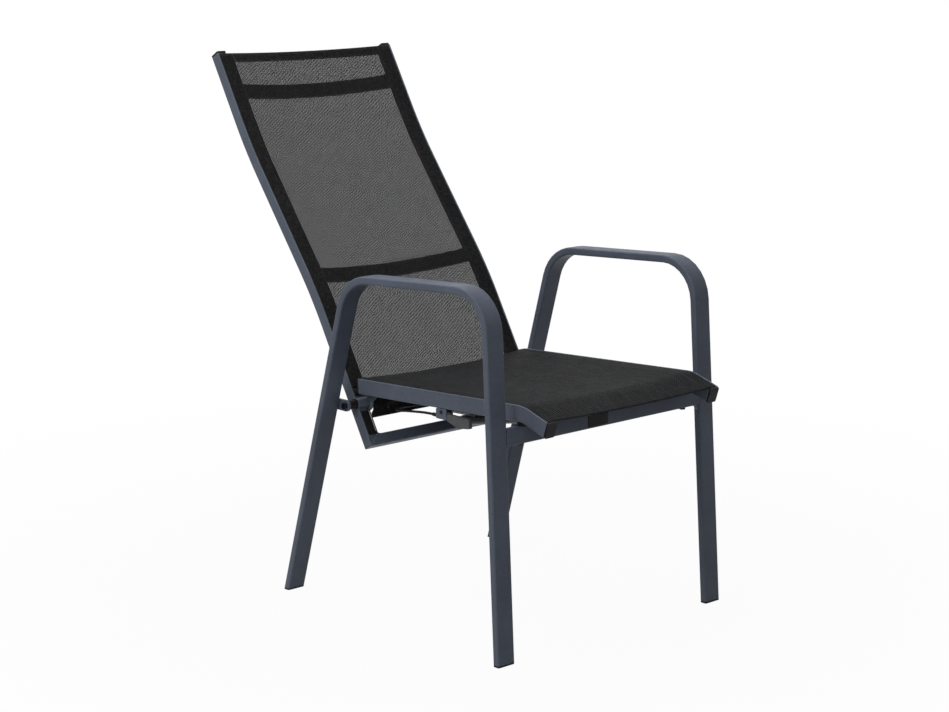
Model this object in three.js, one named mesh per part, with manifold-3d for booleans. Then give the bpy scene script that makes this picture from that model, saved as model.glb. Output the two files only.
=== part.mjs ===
// Reclining sling patio chair: two bent side frames, a fixed seat, and a back that tilts on a hinge
// tube behind the seat, held by a locking gas spring with a hand lever and a cable.
// Millimetres. X runs across the chair with +X on the sitter's left, Y runs to the back, Z is up.
// Everything is laid out from the hinge axis, which is at Y 0 until the last lines.

import * as THREE from "three";
import { mergeVertices } from "three/addons/utils/BufferGeometryUtils.js";
import Module from "manifold-3d";

const wasm = await Module();
wasm.setup();

// Side frames, in millimetres and degrees.
const frameWidth = 580; // outside to outside at the armrests
const legSplay = 0.0097; // sideways lean of the legs, as a slope
const flatTubeWidth = 40;
const flatTubeDepth = 15;
const flatTubeWall = 1.6;
const flatTubeCorner = 3;
const frontFootReach = 486.6; // front face of the front foot ahead of the hinge, at floor level
const rearFootReach = 153.7; // rear face of the rear foot behind the hinge, at floor level
const frontLegLean = 3.44;
const rearLegLean = 16.6;
const armHeight = 661; // top of the armrest over the hinge
const armSlope = 2.98;
const frontBendRadius = 85;
const rearBendRadius = 92;
const footCapHead = 3.2;
const footPlugDepth = 16;
const footPlugInset = 1.9; // plug face inside the face of its tube

// Sling rails. The seat's are deeper, and the back's stand a little further out.
const seatRailGap = 25; // from a leg to the rail beside it, at armrest height
const seatRailWidth = 24;
const seatRailDepth = 30.8;
const backRailGap = 22.8;
const backRailWidth = 22;
const backRailDepth = 24.6;
const railWall = 1.8;
const railCorner = 3.2;
const railLip = 2.4; // metal outside the groove
const grooveMouth = 2.4;
const grooveRadius = 2.9;
const grooveCentreIn = 5.2; // from the outer face
const grooveCentreDown = 5.4; // from the top of the lip
const landDrop = 1; // the fabric side of the rail lies this much under the lip
const weltRadius = 2.5;
const railCapHead = 4;
const railPlugDepth = 12;

// Hinge.
const hingeHeight = 396;
const hingeTubeRadius = 11;
const hingeTubeWall = 2.8;
const hingeBoltRadius = 4;
const hingeBoltHead = 5;
const hingeBoltHeadRadius = 7;
const bushFlange = 2;
const bushFlangeRadius = 10.5;
const bushLength = 22;
const bracketThick = 5;
const bracketRadius = 11;
const spacerRadius = 8.5;
const hangerThick = 4;
const hangerRadius = 18;
const hangerNeckRadius = 9;
const hangerReach = 112;
const hangerTop = 6; // below the top of the rail
const hangerBottom = 27.5;

// Seat.
const seatHeight = 446.3; // top line of the rails, carried on to the hinge
const seatSlope = 2.86;
const seatRear = 6; // rear end of the rails, ahead of the hinge
const seatBendSetback = 30; // the rails start to bend down this far behind the front feet
const seatBendRadius = 85;
const seatBendAngle = 20.6;
const seatNoseLength = 50; // straight part in front of the bend
const seatSagRear = 6;
const seatSagMiddle = 9;
const seatSagFront = 4;
const crossbarHeight = 32.4;
const crossbarTop = 430;
const crossbarFillet = 10;
const seatBoltRadius = 3;
const seatBoltHead = 3;
const seatBoltHeadRadius = 6;
const seatBoltReach = 8; // into the rail
const seatSpacerRadius = 6;
const stretcherRadius = 6.5;
const stretcherReach = 98;
const stretcherDrop = 18.5;

// Back, measured along the front face of its rails from their lower end.
const backTilt = 30.2;
const backMidTilt = 37.5;
const backTopTilt = 30.5;
const backLowLength = 324;
const backMidLength = 348;
const backTopLength = 208;
const backBendRadius = 1000;
const backAhead = 3.6; // front face of the rails ahead of the hinge axis, square to the face
const backBelow = 88.85; // lower end of the rails below the hinge axis
const backSag = 8;
const barFillet = 14; // inner corners over the lower bar
const spreaderHeight = 30;
const spreaderDepth = 12;
const spreaderCorner = 3;
const spreaderBow = 22;
const spreaderSink = 14; // middle of a spreader's end below the face of the rail
const lumbarPlace = 369;
const shoulderPlace = 799;
const slingTopInset = 2;
const flapEnd = 55;
const flapTop = 119; // above here the sling has its full width
const flapTaper = 8;
const flapInset = 9; // sides of the flap inside the rails
const flapLift = 8.7; // the flap passes in front of the hinge tube
const flapLiftEnd = 101;
const backWeltStart = 104;

// Gas spring and its release.
const springPinRadius = 3.2;
const springPinPlay = 1.8; // the ring of links is opened here, so the rear eye runs loose
const springPinHead = 2;
const springPinHeadRadius = 5;
const springRearAhead = 14; // rear pin in front of the lower back bar
const springFrontSetback = 56.6; // front pin behind the front feet
const springFrontHeight = 412;
const cylinderStart = 140; // from the front pin, along the spring
const cylinderTail = 16.6; // from its rear end to the rear pin
const cylinderRadius = 11;
const boreTail = 120; // solid rear part of the cylinder
const rodStart = 18;
const rodSpare = 16; // from the end of the rod to the end of the bore
const rodRadius = 4;
const eyeRadius = 8.4;
const eyeHalfWidth = 7;
const neckRadius = 5;
const earThick = 3;
const earGap = 1.2;
const earRadius = 9;
const bracketBase = 3;
const bracketCorner = 1.5;
const headEnd = 31;
const headHalfHeight = 10;
const headHalfWidth = 7.3;
const armPlace = 12; // release arm pin along the spring, and above its axis
const armPinRise = 14;
const armPinRadius = 1.5;
const armHalfThick = 2;
const armFoot = 3.6;
const armHalfDepth = 3;
const armTop = 33;
const wireRise = 29;
const wireRadius = 0.6;
const wireHole = 1.5;
const stopStart = 27.5;
const stopThick = 3;
const stopHeight = 14;
const nippleRadius = 2;
const nippleStart = 6.2;
const nippleEnd = 8.2;

// Hand lever under the right rail. Its pieces start this far inside the outer face of the rail.
const leverPlateIn = 5.3;
const housingIn = 2;
const paddleIn = 1;
const cableIn = 8;
const coilIn = 13.6;
const leverReach = 249; // lever pin ahead of the hinge
const leverHeight = 421;
const leverPinRadius = 2.4;
const leverPinHeadRadius = 3.6;
const leverPinHead = 1.2;
const leverHubRadius = 6;
const leverPlateThick = 5.2;
const cheekThick = 2.4;
const housingWidth = 17;
const housingFront = 263;
const housingRear = 234;
const housingBottom = 407.5;
const housingCorner = 3;
const flangeReach = 9;
const paddleThick = 7.6;
const paddleFront = 328;
const paddleRear = 266;
const paddleTop = 420;
const paddleLow = 398;
const paddleMid = 407;
const paddleCorner = 4;
const cableHeight = 411.5;
const cableRadius = 2.5;
const cableRoute = [
  [-216, -195, 410],
  [-210, -150, 404],
  [-204, -108, 398],
  [-193, -84, 394.5],
  [-160, -68, 392],
  [-120, -75, 391],
  [-85, -110, 392],
  [-60, -170, 396],
  [-40, -240, 402],
  [-22, -300, 412],
  [-9, -348, 424],
]; // spots of the cable under the seat, from the lever to the gas spring
const ferruleRadius = 3.6;
const ferruleBore = 2.8;
const ferruleLength = 14;
const pegHeight = 424;
const pegReach = 247;
const pegRadius = 1.1;
const pegLength = 4.9;
const coilRadius = 2.1;
const coilWire = 0.7;
const coilTurns = 13;
const coilSteps = 7; // in a turn
const coilStart = 264;
const coilEnd = 330;
const coilDrop = 4.4; // coil axis under the rail
const anchorReach = 341;
const anchorRise = 5;

// Cloth and tag.
const clothThick = 1.2;
const clothEdgeIn = 2.7; // from the outer face of a rail
const clothSeatRear = 3; // from the rear end of the rails
const clothStep = 42; // longest step between rows of its mesh
const tagWidth = 52;
const tagHeight = 21;
const tagThick = 0.8;
const tagPlace = 95; // right of the middle

const gap = 0.3; // between pieces that touch
const play = 0.4; // between pieces that turn on each other
const overlap = 1; // how far parts of one piece run into each other
const hair = 1e-6; // differences under this are rounding

// Colours, roughness and metalness.
const finish = (color, roughness, metalness) => new THREE.MeshStandardMaterial({ color, roughness, metalness });
const powderCoat = () => finish(0x474c57, 0.55, 0.35);
const blackPlastic = () => finish(0x20211f, 0.6, 0);
const greyPlastic = () => finish(0x4a4a4b, 0.55, 0);
const steel = () => finish(0xb4b7ba, 0.3, 1);
const blackSteel = () => finish(0x15161a, 0.35, 0.4);
const backCloth = () => finish(0x4c4c4b, 0.85, 0);
const seatCloth = () => finish(0x26272a, 0.8, 0);

const group = new THREE.Group();
group.name = "sling_patio_chair";

function put(name, geometry, material) {
  const mesh = new THREE.Mesh(geometry, material());
  mesh.name = name;
  group.add(mesh);
}

// A place in the side view is a Vector2 that holds Y and Z.
const rad = THREE.MathUtils.degToRad;
const at = (y, z) => new THREE.Vector2(y, z);
const inSpace = (x, p) => new THREE.Vector3(x, p.x, p.y);
const leaning = (angle) => at(Math.sin(rad(angle)), Math.cos(rad(angle))); // back from upright
const moved = (p, direction, distance) => p.clone().addScaledVector(direction, distance);
const leftOf = (direction) => at(-direction.y, direction.x); // a quarter turn
const hinge = at(0, hingeHeight);
const across = new THREE.Vector3(1, 0, 0);
const sides = [
  { name: "right", sign: -1 },
  { name: "left", sign: 1 },
];
const spaced = (from, to, count) => Array.from({ length: count + 1 }, (_, i) => from + ((to - from) * i) / count);

// A closed solid from points and triangles, with its faces turned outwards.
function solid(points, triangles) {
  const cross = new THREE.Vector3();
  let volume = 0;
  for (const [a, b, c] of triangles) volume += cross.crossVectors(points[a], points[b]).dot(points[c]);
  const index = volume < 0 ? triangles.flatMap(([a, b, c]) => [a, c, b]) : triangles.flat();
  const geometry = new THREE.BufferGeometry().setFromPoints(points);
  geometry.setIndex(index);
  return geometry;
}

// The unit normal of a flat ring of points.
function normalOf(ring) {
  const normal = new THREE.Vector3();
  ring.forEach((p, i) => {
    const q = ring[(i + 1) % ring.length];
    normal.x += (p.y - q.y) * (p.z + q.z);
    normal.y += (p.z - q.z) * (p.x + q.x);
    normal.z += (p.x - q.x) * (p.y + q.y);
  });
  return normal.normalize();
}

// Triangles over a flat outline with holes, counter-clockwise about the outline's normal.
// Their numbers count through the rings, one after the other.
function lidOf(rings) {
  const turn = new THREE.Quaternion().setFromUnitVectors(normalOf(rings[0]), new THREE.Vector3(0, 0, 1));
  const flat = rings.map((ring) => ring.map((p) => p.clone().applyQuaternion(turn)).map((p) => at(p.x, p.y)));
  const all = flat.flat();
  const faces = THREE.ShapeUtils.triangulateShape(flat[0], flat.slice(1));
  return faces.map(([a, b, c]) => {
    const area = all[b].clone().sub(all[a]).cross(all[c].clone().sub(all[a]));
    return area < 0 ? [a, c, b] : [a, b, c];
  });
}

// Skins stations of closed rings. Each station lists its outline first, then its holes.
function loft(stations) {
  const points = stations.flat(2);
  const size = stations[0].flat().length;
  const triangles = [];
  for (let s = 0; s + 1 < stations.length; s++) {
    let start = s * size;
    for (const [r, ring] of stations[s].entries()) {
      for (let i = 0; i < ring.length; i++) {
        const j = (i + 1) % ring.length;
        const [a, b, c, d] = [start + i, start + j, start + j + size, start + i + size];
        if (r === 0) triangles.push([a, b, c], [a, c, d]);
        else triangles.push([a, c, b], [a, d, c]);
      }
      start += ring.length;
    }
  }
  const last = (stations.length - 1) * size;
  for (const [a, b, c] of lidOf(stations[0])) triangles.push([a, c, b]);
  for (const [a, b, c] of lidOf(stations.at(-1))) triangles.push([last + a, last + b, last + c]);
  return solid(points, triangles);
}

// Joining and cutting.
function toManifold(geometry) {
  const bare = new THREE.BufferGeometry();
  bare.setAttribute("position", geometry.getAttribute("position"));
  if (geometry.index) bare.setIndex(geometry.index);
  const merged = mergeVertices(bare, 1e-3);
  const vertProperties = new Float32Array(merged.attributes.position.array);
  const triVerts = new Uint32Array(merged.index.array);
  return new wasm.Manifold(new wasm.Mesh({ numProp: 3, vertProperties, triVerts }));
}

function fromManifold(body) {
  const mesh = body.getMesh();
  const geometry = new THREE.BufferGeometry();
  geometry.setAttribute("position", new THREE.BufferAttribute(new Float32Array(mesh.vertProperties), 3));
  geometry.setIndex(new THREE.BufferAttribute(new Uint32Array(mesh.triVerts), 1));
  return geometry;
}

const joined = (...parts) => fromManifold(parts.map(toManifold).reduce((a, b) => a.add(b)));
const cut = (part, ...tools) =>
  fromManifold(tools.map(toManifold).reduce((a, b) => a.subtract(b), toManifold(part)));

// A solid turned around the line from a point, from pairs of [radius, distance along the line].
function turned(from, direction, pairs, count = 20) {
  const profile = [...pairs, pairs[0]].map(([radius, distance]) => at(radius, distance));
  const geometry = new THREE.LatheGeometry(profile, count);
  geometry.applyQuaternion(new THREE.Quaternion().setFromUnitVectors(new THREE.Vector3(0, 1, 0), direction));
  geometry.translate(from.x, from.y, from.z);
  const spots = geometry.getAttribute("position");
  const points = Array.from({ length: spots.count }, (_, i) => new THREE.Vector3().fromBufferAttribute(spots, i));
  const index = Array.from(geometry.index.array);
  const triangles = [];
  while (index.length) triangles.push(index.splice(0, 3));
  return solid(points, triangles);
}

function tubeBetween(from, to, outer, inner, count) {
  const reach = to.clone().sub(from);
  const length = reach.length();
  const pairs = [[inner, 0], [outer, 0], [outer, length], [inner, length]];
  return turned(from, reach.normalize(), pairs, count);
}
const tubeAcross = (x0, x1, p, outer, inner, count) =>
  tubeBetween(inSpace(x0, p), inSpace(x1, p), outer, inner, count);

// A round bar between two points.
function bar(from, to, radius, count = 16) {
  const reach = to.clone().sub(from);
  const geometry = new THREE.CylinderGeometry(radius, radius, reach.length(), count);
  const turn = new THREE.Quaternion().setFromUnitVectors(new THREE.Vector3(0, 1, 0), reach.clone().normalize());
  geometry.applyQuaternion(turn);
  const middle = from.clone().addScaledVector(reach, 0.5);
  geometry.translate(middle.x, middle.y, middle.z);
  return geometry;
}
const barAcross = (x0, x1, p, radius, count) => bar(inSpace(x0, p), inSpace(x1, p), radius, count);

// A pin across the chair with a head at each end of its shaft.
const headedPin = (x0, x1, p, radius, headRadius, headThick) =>
  joined(
    barAcross(x0 - overlap, x1 + overlap, p, radius),
    barAcross(x0 - headThick, x0, p, headRadius),
    barAcross(x1, x1 + headThick, p, headRadius),
  );

// A plate cut to a side view shape, from x to x.
function plate(shape, x0, x1, steps = 6) {
  const settings = { depth: Math.abs(x1 - x0), bevelEnabled: false, curveSegments: steps };
  const geometry = new THREE.ExtrudeGeometry(shape, settings);
  const [y, z] = [new THREE.Vector3(0, 1, 0), new THREE.Vector3(0, 0, 1)];
  geometry.applyMatrix4(new THREE.Matrix4().makeBasis(y, z, across));
  geometry.translate(Math.min(x0, x1), 0, 0);
  return geometry;
}

// Side view shapes: a disc, two discs joined by their outer tangents, a polygon with soft corners.
function disc(p, radius) {
  const shape = new THREE.Shape();
  shape.absarc(p.x, p.y, radius, 0, 2 * Math.PI);
  return shape;
}

function strap(a, radiusA, b, radiusB) {
  const reach = b.clone().sub(a);
  const heading = reach.angle();
  const open = Math.acos((radiusA - radiusB) / reach.length());
  const shape = new THREE.Shape();
  shape.absarc(a.x, a.y, radiusA, heading + open, heading - open + 2 * Math.PI);
  shape.absarc(b.x, b.y, radiusB, heading - open, heading + open);
  return shape;
}

function softPolygon(corners, radius) {
  const shape = new THREE.Shape();
  corners.forEach((corner, i) => {
    const before = corners.at(i - 1).clone().sub(corner).normalize();
    const after = corners[(i + 1) % corners.length].clone().sub(corner).normalize();
    const start = moved(corner, before, radius);
    const end = moved(corner, after, radius);
    if (i === 0) shape.moveTo(start.x, start.y);
    else shape.lineTo(start.x, start.y);
    shape.quadraticCurveTo(corner.x, corner.y, end.x, end.y);
  });
  return shape;
}

// A rounded rectangle around its own middle, as a ring of places.
function roundedSection(width, height, corner, steps = 3) {
  const quarters = [[1, 1], [-1, 1], [-1, -1], [1, -1]];
  return quarters.flatMap(([sx, sy], quarter) =>
    spaced(0, 1, steps).map((share) => {
      const angle = (Math.PI / 2) * (quarter + share);
      const x = sx * (width / 2 - corner) + corner * Math.cos(angle);
      const y = sy * (height / 2 - corner) + corner * Math.sin(angle);
      return at(x, y);
    }),
  );
}
const hollowSection = (width, height, corner, wall) => [
  roundedSection(width, height, corner),
  roundedSection(width - 2 * wall, height - 2 * wall, corner - wall, 2),
];

// A section placed at a station with an origin o and directions u and v, and swept over stations.
const placed = (ring, { o, u, v }) => ring.map((q) => o.clone().addScaledVector(u, q.x).addScaledVector(v, q.y));
const sweep = (stations, rings) => loft(stations.map((station) => rings.map((ring) => placed(ring, station))));

// Straights between corners with each inner corner rounded, as places with directions.
function bentLine(corners, radii, steps) {
  const heading = (i) => corners[i + 1].clone().sub(corners[i]).normalize();
  const spots = [{ p: corners[0].clone(), d: heading(0) }];
  radii.forEach((radius, i) => {
    const before = heading(i);
    const after = heading(i + 1);
    const angle = Math.atan2(before.cross(after), before.dot(after));
    const start = moved(corners[i + 1], before, -radius * Math.tan(Math.abs(angle) / 2));
    const centre = moved(start, leftOf(before), Math.sign(angle) * radius);
    for (const part of spaced(0, angle, steps)) {
      const p = start.clone().rotateAround(centre, part);
      spots.push({ p, d: before.clone().rotateAround(at(0, 0), part) });
    }
  });
  spots.push({ p: corners.at(-1).clone(), d: heading(corners.length - 2) });
  return spots;
}

// Distances along a line: of all its spots, and of the spots between two ends.
const distancesOf = (spots) => {
  let sum = 0;
  return spots.map(({ p }, i) => (sum += i ? p.distanceTo(spots[i - 1].p) : 0));
};
const stopsBetween = (spots, from, to) => [
  from,
  ...distancesOf(spots).filter((distance) => distance > from + overlap && distance < to - overlap),
  to,
];

// The same, with long straights divided into steps.
const fineStops = (spots, from, to, step) =>
  stopsBetween(spots, from, to).reduce(
    (stops, stop) => [...stops, ...spaced(stops.at(-1), stop, Math.ceil((stop - stops.at(-1)) / step)).slice(1)],
    [from],
  );

// The place and direction on a line, at a distance from its start.
function lineAt(spots, distance) {
  const distances = distancesOf(spots);
  const next = Math.max(1, distances.findIndex((reached) => reached >= distance - hair));
  const [a, b] = [spots[next - 1], spots[next]];
  const share = (distance - distances[next - 1]) / (distances[next] - distances[next - 1]);
  return { p: a.p.clone().lerp(b.p, share), d: a.d.clone().lerp(b.d, share).normalize() };
}

// A round cord through points, with a radius at each of them.
const askew = new THREE.Vector3(1, 2, 3); // along no cord of the chair
function cord(points, radii, count) {
  const headings = points.map((_, i) => {
    const before = points[Math.max(i - 1, 0)];
    const after = points[Math.min(i + 1, points.length - 1)];
    return after.clone().sub(before).normalize();
  });
  let side = askew.clone().cross(headings[0]).normalize();
  const stations = points.map((p, i) => {
    side = side.clone().addScaledVector(headings[i], -side.dot(headings[i])).normalize();
    const other = headings[i].clone().cross(side);
    const ring = Array.from({ length: count }, (_, k) => {
      const angle = (2 * Math.PI * k) / count;
      const reach = side.clone().multiplyScalar(Math.cos(angle)).addScaledVector(other, Math.sin(angle));
      return p.clone().addScaledVector(reach, radii[i]);
    });
    return [ring];
  });
  return loft(stations);
}

// Cloth from rows of points on its middle, each row with its own normal.
function cloth(rows) {
  const wide = rows[0].points.length;
  const half = clothThick / 2;
  const skin = (side) => rows.flatMap(({ points, n }) => points.map((p) => p.clone().addScaledVector(n, side * half)));
  const points = [...skin(1), ...skin(-1)];
  const below = wide * rows.length;
  const triangles = [];
  const quad = (a, b, c, d) => triangles.push([a, b, c], [a, c, d]);
  for (let r = 0; r + 1 < rows.length; r++) {
    for (let i = 0; i + 1 < wide; i++) {
      const a = r * wide + i;
      quad(a, a + 1, a + 1 + wide, a + wide);
      quad(below + a, below + a + wide, below + a + 1 + wide, below + a + 1);
    }
    const first = r * wide;
    const last = first + wide - 1;
    quad(first, first + wide, below + first + wide, below + first);
    quad(last, below + last, below + last + wide, last + wide);
  }
  for (let i = 0; i + 1 < wide; i++) {
    const end = (rows.length - 1) * wide + i;
    quad(i, below + i, below + i + 1, i + 1);
    quad(end, end + 1, below + end + 1, below + end);
  }
  return solid(points, triangles);
}

// Leans a geometry sideways with the legs: nothing moves at armrest height.
function splayed(geometry) {
  const spots = geometry.getAttribute("position");
  for (let i = 0; i < spots.count; i++) {
    const x = spots.getX(i);
    spots.setX(i, x + Math.sign(x) * legSplay * (armHeight - spots.getZ(i)));
  }
  return geometry;
}

// Side frames and their foot caps.
const frontLegWide = flatTubeDepth / Math.cos(rad(frontLegLean)); // a leg cut level
const rearLegWide = flatTubeDepth / Math.cos(rad(rearLegLean));
const frontFaceAt = (z) => -frontFootReach + z * Math.tan(rad(frontLegLean));
const rearFaceAt = (z) => rearFootReach - z * Math.tan(rad(rearLegLean));
const legInside = (z) => frameWidth / 2 - flatTubeWidth + legSplay * (armHeight - z);
const flatTubeRings = hollowSection(flatTubeWidth, flatTubeDepth, flatTubeCorner, flatTubeWall);

function sideFrame(sign) {
  const half = flatTubeDepth / 2;
  const foot = footCapHead + gap;
  const front = at(frontFaceAt(foot) + frontLegWide / 2, foot);
  const rear = at(rearFaceAt(foot) - rearLegWide / 2, foot);
  const slope = Math.tan(rad(armSlope));
  const armMiddle = armHeight - half / Math.cos(rad(armSlope));
  const meet = (start, direction) =>
    moved(start, direction, (armMiddle - slope * start.x - start.y) / (direction.y + slope * direction.x));
  const corners = [front, meet(front, leaning(frontLegLean)), meet(rear, leaning(-rearLegLean)), rear];
  const line = bentLine(corners, [frontBendRadius - half, rearBendRadius - half], 7);
  const stations = line.map(({ p, d }) => ({
    o: inSpace((sign * (frameWidth - flatTubeWidth)) / 2, p),
    u: across,
    v: inSpace(0, leftOf(d)),
  }));
  stations[0].v.set(0, -frontLegWide / flatTubeDepth, 0);
  stations.at(-1).v.set(0, rearLegWide / flatTubeDepth, 0);
  return splayed(sweep(stations, flatTubeRings));
}

function footCap(sign, front) {
  const wide = front ? frontLegWide : rearLegWide;
  const centreAt = (z) => (front ? frontFaceAt(z) + wide / 2 : rearFaceAt(z) - wide / 2);
  const inset = footPlugInset;
  const plug = roundedSection(flatTubeWidth - 2 * inset, flatTubeDepth - 2 * inset, flatTubeCorner - inset);
  const level = (ring, z) => {
    const o = inSpace((sign * (frameWidth - flatTubeWidth)) / 2, at(centreAt(z), z));
    return [placed(ring, { o, u: across, v: new THREE.Vector3(0, wide / flatTubeDepth, 0) })];
  };
  const head = flatTubeRings[0];
  const top = footCapHead + footPlugDepth;
  return splayed(loft([level(head, 0), level(head, footCapHead), level(plug, footCapHead), level(plug, top)]));
}

for (const { name, sign } of sides) {
  put(`side_frame_${name}`, sideFrame(sign), powderCoat);
  put(`foot_cap_front_${name}`, footCap(sign, true), blackPlastic);
  put(`foot_cap_rear_${name}`, footCap(sign, false), blackPlastic);
}

// The rails' places and sections. In a section X runs inwards from the outer face, and Y up to the lip at 0.
function railOf(legGap, width, depth) {
  const outer = frameWidth / 2 - flatTubeWidth - legGap;
  return { outer, inner: outer - width, clothEdge: outer - clothEdgeIn, width, depth };
}
const seatTube = railOf(seatRailGap, seatRailWidth, seatRailDepth);
const backTube = railOf(backRailGap, backRailWidth, backRailDepth);
const flapHalfWidth = backTube.inner - flapInset;
const land = -landDrop;
function railOutline({ width, depth }) {
  const arc = (x, y, quarter) =>
    spaced(0, 1, 2).map((share) => {
      const angle = (Math.PI / 2) * (quarter + share);
      return at(x + railCorner * Math.cos(angle), y + railCorner * Math.sin(angle));
    });
  const mouthEnd = railLip + grooveMouth;
  const angleAt = (x) => Math.acos((x - grooveCentreIn) / grooveRadius);
  const groove = spaced(angleAt(mouthEnd), angleAt(railLip) - 2 * Math.PI, 9).map((angle) =>
    at(grooveCentreIn + grooveRadius * Math.cos(angle), -grooveCentreDown + grooveRadius * Math.sin(angle)),
  );
  return [
    ...arc(railCorner, -depth + railCorner, 2),
    ...arc(width - railCorner, -depth + railCorner, 3),
    ...arc(width - railCorner, land - railCorner, 0),
    at(mouthEnd, land),
    ...groove,
    at(railLip, 0),
    at(0, 0),
  ];
}

// The hollow beside and under the groove, and with a larger inset the plug that fits in it.
function railHollow({ width, depth }, inset) {
  const shelf = -grooveCentreDown - grooveRadius - inset;
  const step = grooveCentreIn + grooveRadius + inset;
  const [left, right] = [inset, width - inset];
  const [bottom, top] = [-depth + inset, land - inset];
  return [at(left, bottom), at(right, bottom), at(right, top), at(step, top), at(step, shelf), at(left, shelf)];
}
const railRings = (tube) => [railOutline(tube), railHollow(tube, railWall)];

// A station of a rail on its top line. Up is the direction towards the sitter.
const railStation = (tube, sign, p, up) => ({
  o: inSpace(sign * tube.outer, p),
  u: new THREE.Vector3(-sign, 0, 0),
  v: inSpace(0, up),
});

// A cap on the end of a rail: a head over the end and a plug inside the hollow.
function railCap(tube, sign, p, up, outwards) {
  const middle = at(tube.width / 2, -tube.depth / 2);
  const head = roundedSection(tube.width, tube.depth, railCorner).map((q) => q.add(middle));
  const plug = railHollow(tube, railWall + play);
  const run = (ring, from, to) =>
    sweep([from, to].map((distance) => railStation(tube, sign, moved(p, outwards, distance), up)), [ring]);
  return joined(run(head, gap, gap + railCapHead), run(plug, -railPlugDepth, gap + overlap));
}

// Seat rails: their top line runs from the rear end to the front end.
const seatStraight = frontFootReach - seatBendSetback;
const seatHeading = at(-Math.cos(rad(seatSlope)), Math.sin(rad(seatSlope)));
const seatTopAt = (y) => seatHeight - y * Math.tan(rad(seatSlope));
const seatBend = at(-seatStraight, seatTopAt(-seatStraight));
const seatBendCentre = moved(seatBend, leftOf(seatHeading), seatBendRadius);
const seatCurve = spaced(0, rad(seatBendAngle), 7).map((angle) => ({
  p: seatBend.clone().rotateAround(seatBendCentre, angle),
  d: seatHeading.clone().rotateAround(at(0, 0), angle),
}));
const { p: noseStart, d: noseHeading } = seatCurve.at(-1);
const seatLine = [
  { p: at(-seatRear, seatTopAt(-seatRear)), d: seatHeading },
  ...seatCurve,
  { p: moved(noseStart, noseHeading, seatNoseLength), d: noseHeading },
];
const seatLength = distancesOf(seatLine).at(-1);
const seatUp = (d) => leftOf(d).negate();
const underRail = (y, distance) => seatTopAt(y) - distance / Math.cos(rad(seatSlope));

// The front crossbar stands between the front legs, flush with their front faces.
const crossbarUp = leaning(frontLegLean);
const crossbarBack = leftOf(crossbarUp).negate();
const crossbarFrontTop = at(frontFaceAt(crossbarTop), crossbarTop);
const crossbarAt = (back, down) => moved(moved(crossbarFrontTop, crossbarBack, back), crossbarUp, -down);

// How high the underside of the rails runs over the crossbar, at a place along the crossbar's depth.
function riseToRail(back) {
  const under = seatLine.map(({ p, d }) => {
    const q = moved(p, seatUp(d), -seatRailDepth).sub(crossbarFrontTop);
    return at(q.dot(crossbarBack), q.dot(crossbarUp));
  });
  const next = under.findIndex((q) => q.x < back);
  const [a, b] = [under[next - 1], under[next]];
  return THREE.MathUtils.mapLinear(back, a.x, b.x, a.y, b.y);
}

// Bolts run up through the crossbar and a spacer into the rails.
const spacerEdges = [-seatSpacerRadius, seatSpacerRadius].map((off) => riseToRail(flatTubeDepth / 2 + off));
const seatStandoff = Math.min(...spacerEdges);
const seatBoltX = seatTube.outer - seatRailWidth / 2;
const seatBoltAt = (sign, down) => inSpace(sign * seatBoltX, crossbarAt(flatTubeDepth / 2, down));
const seatBoltShaft = (sign, radius, down) =>
  bar(seatBoltAt(sign, crossbarHeight + down), seatBoltAt(sign, -seatStandoff - seatBoltReach), radius, 12);
const seatSpacer = (sign) => {
  const [low, high] = [seatBoltAt(sign, -gap), seatBoltAt(sign, gap - seatStandoff)];
  return tubeBetween(low, high, seatSpacerRadius, seatBoltRadius + gap, 16);
};
const seatBoltHole = (sign) => seatBoltShaft(sign, seatBoltRadius + gap, overlap);
const seatBolt = (sign) => {
  const headAt = (down) => seatBoltAt(sign, crossbarHeight + gap + down);
  return joined(
    bar(headAt(seatBoltHead), headAt(0), seatBoltHeadRadius, 6),
    seatBoltShaft(sign, seatBoltRadius, gap + overlap),
  );
};

// A fillet in a corner between two stations. Its outline is pairs of distances along the two sides.
function cornerFillet(radius, stations, spotAt) {
  const curve = spaced(0, Math.PI / 2, 5).map((angle) => [
    radius * (1 - Math.sin(angle)),
    overlap + radius * (1 - Math.cos(angle)),
  ]);
  const outline = [[0, 0], [radius, 0], ...curve];
  return loft(stations.map((station) => [outline.map(([inwards, up]) => spotAt(station, inwards, up))]));
}

function frontCrossbar() {
  const middle = crossbarAt(flatTubeDepth / 2, crossbarHeight / 2);
  const ringAt = (ring, sign) =>
    ring.map((q) => {
      const p = moved(moved(middle, crossbarBack, q.x), crossbarUp, q.y);
      return inSpace(sign * (legInside(p.y) - gap), p);
    });
  const rings = hollowSection(flatTubeDepth, crossbarHeight, flatTubeCorner, flatTubeWall);
  const tube = loft([-1, 1].map((sign) => rings.map((ring) => ringAt(ring, sign))));
  const fillet = (sign) =>
    cornerFillet(crossbarFillet, [flatTubeCorner, flatTubeDepth - flatTubeCorner], (back, inwards, down) => {
      const p = crossbarAt(back, crossbarHeight - overlap + down);
      return inSpace(sign * (legInside(p.y) - gap - inwards), p);
    });
  return cut(joined(tube, fillet(-1), fillet(1)), seatBoltHole(-1), seatBoltHole(1));
}

function seatRail(sign) {
  const stations = seatLine.map(({ p, d }) => railStation(seatTube, sign, p, seatUp(d)));
  return cut(sweep(stations, railRings(seatTube)), seatBoltHole(sign));
}

// The welt of a sling, between two distances along a rail.
function welt(tube, sign, line, upOf, from, to) {
  const points = stopsBetween(line, from, to).map((distance) => {
    const { p, d } = lineAt(line, distance);
    return inSpace(sign * (tube.outer - grooveCentreIn), moved(p, upOf(d), -grooveCentreDown));
  });
  return cord(points, points.map(() => weltRadius), 8);
}

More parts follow.
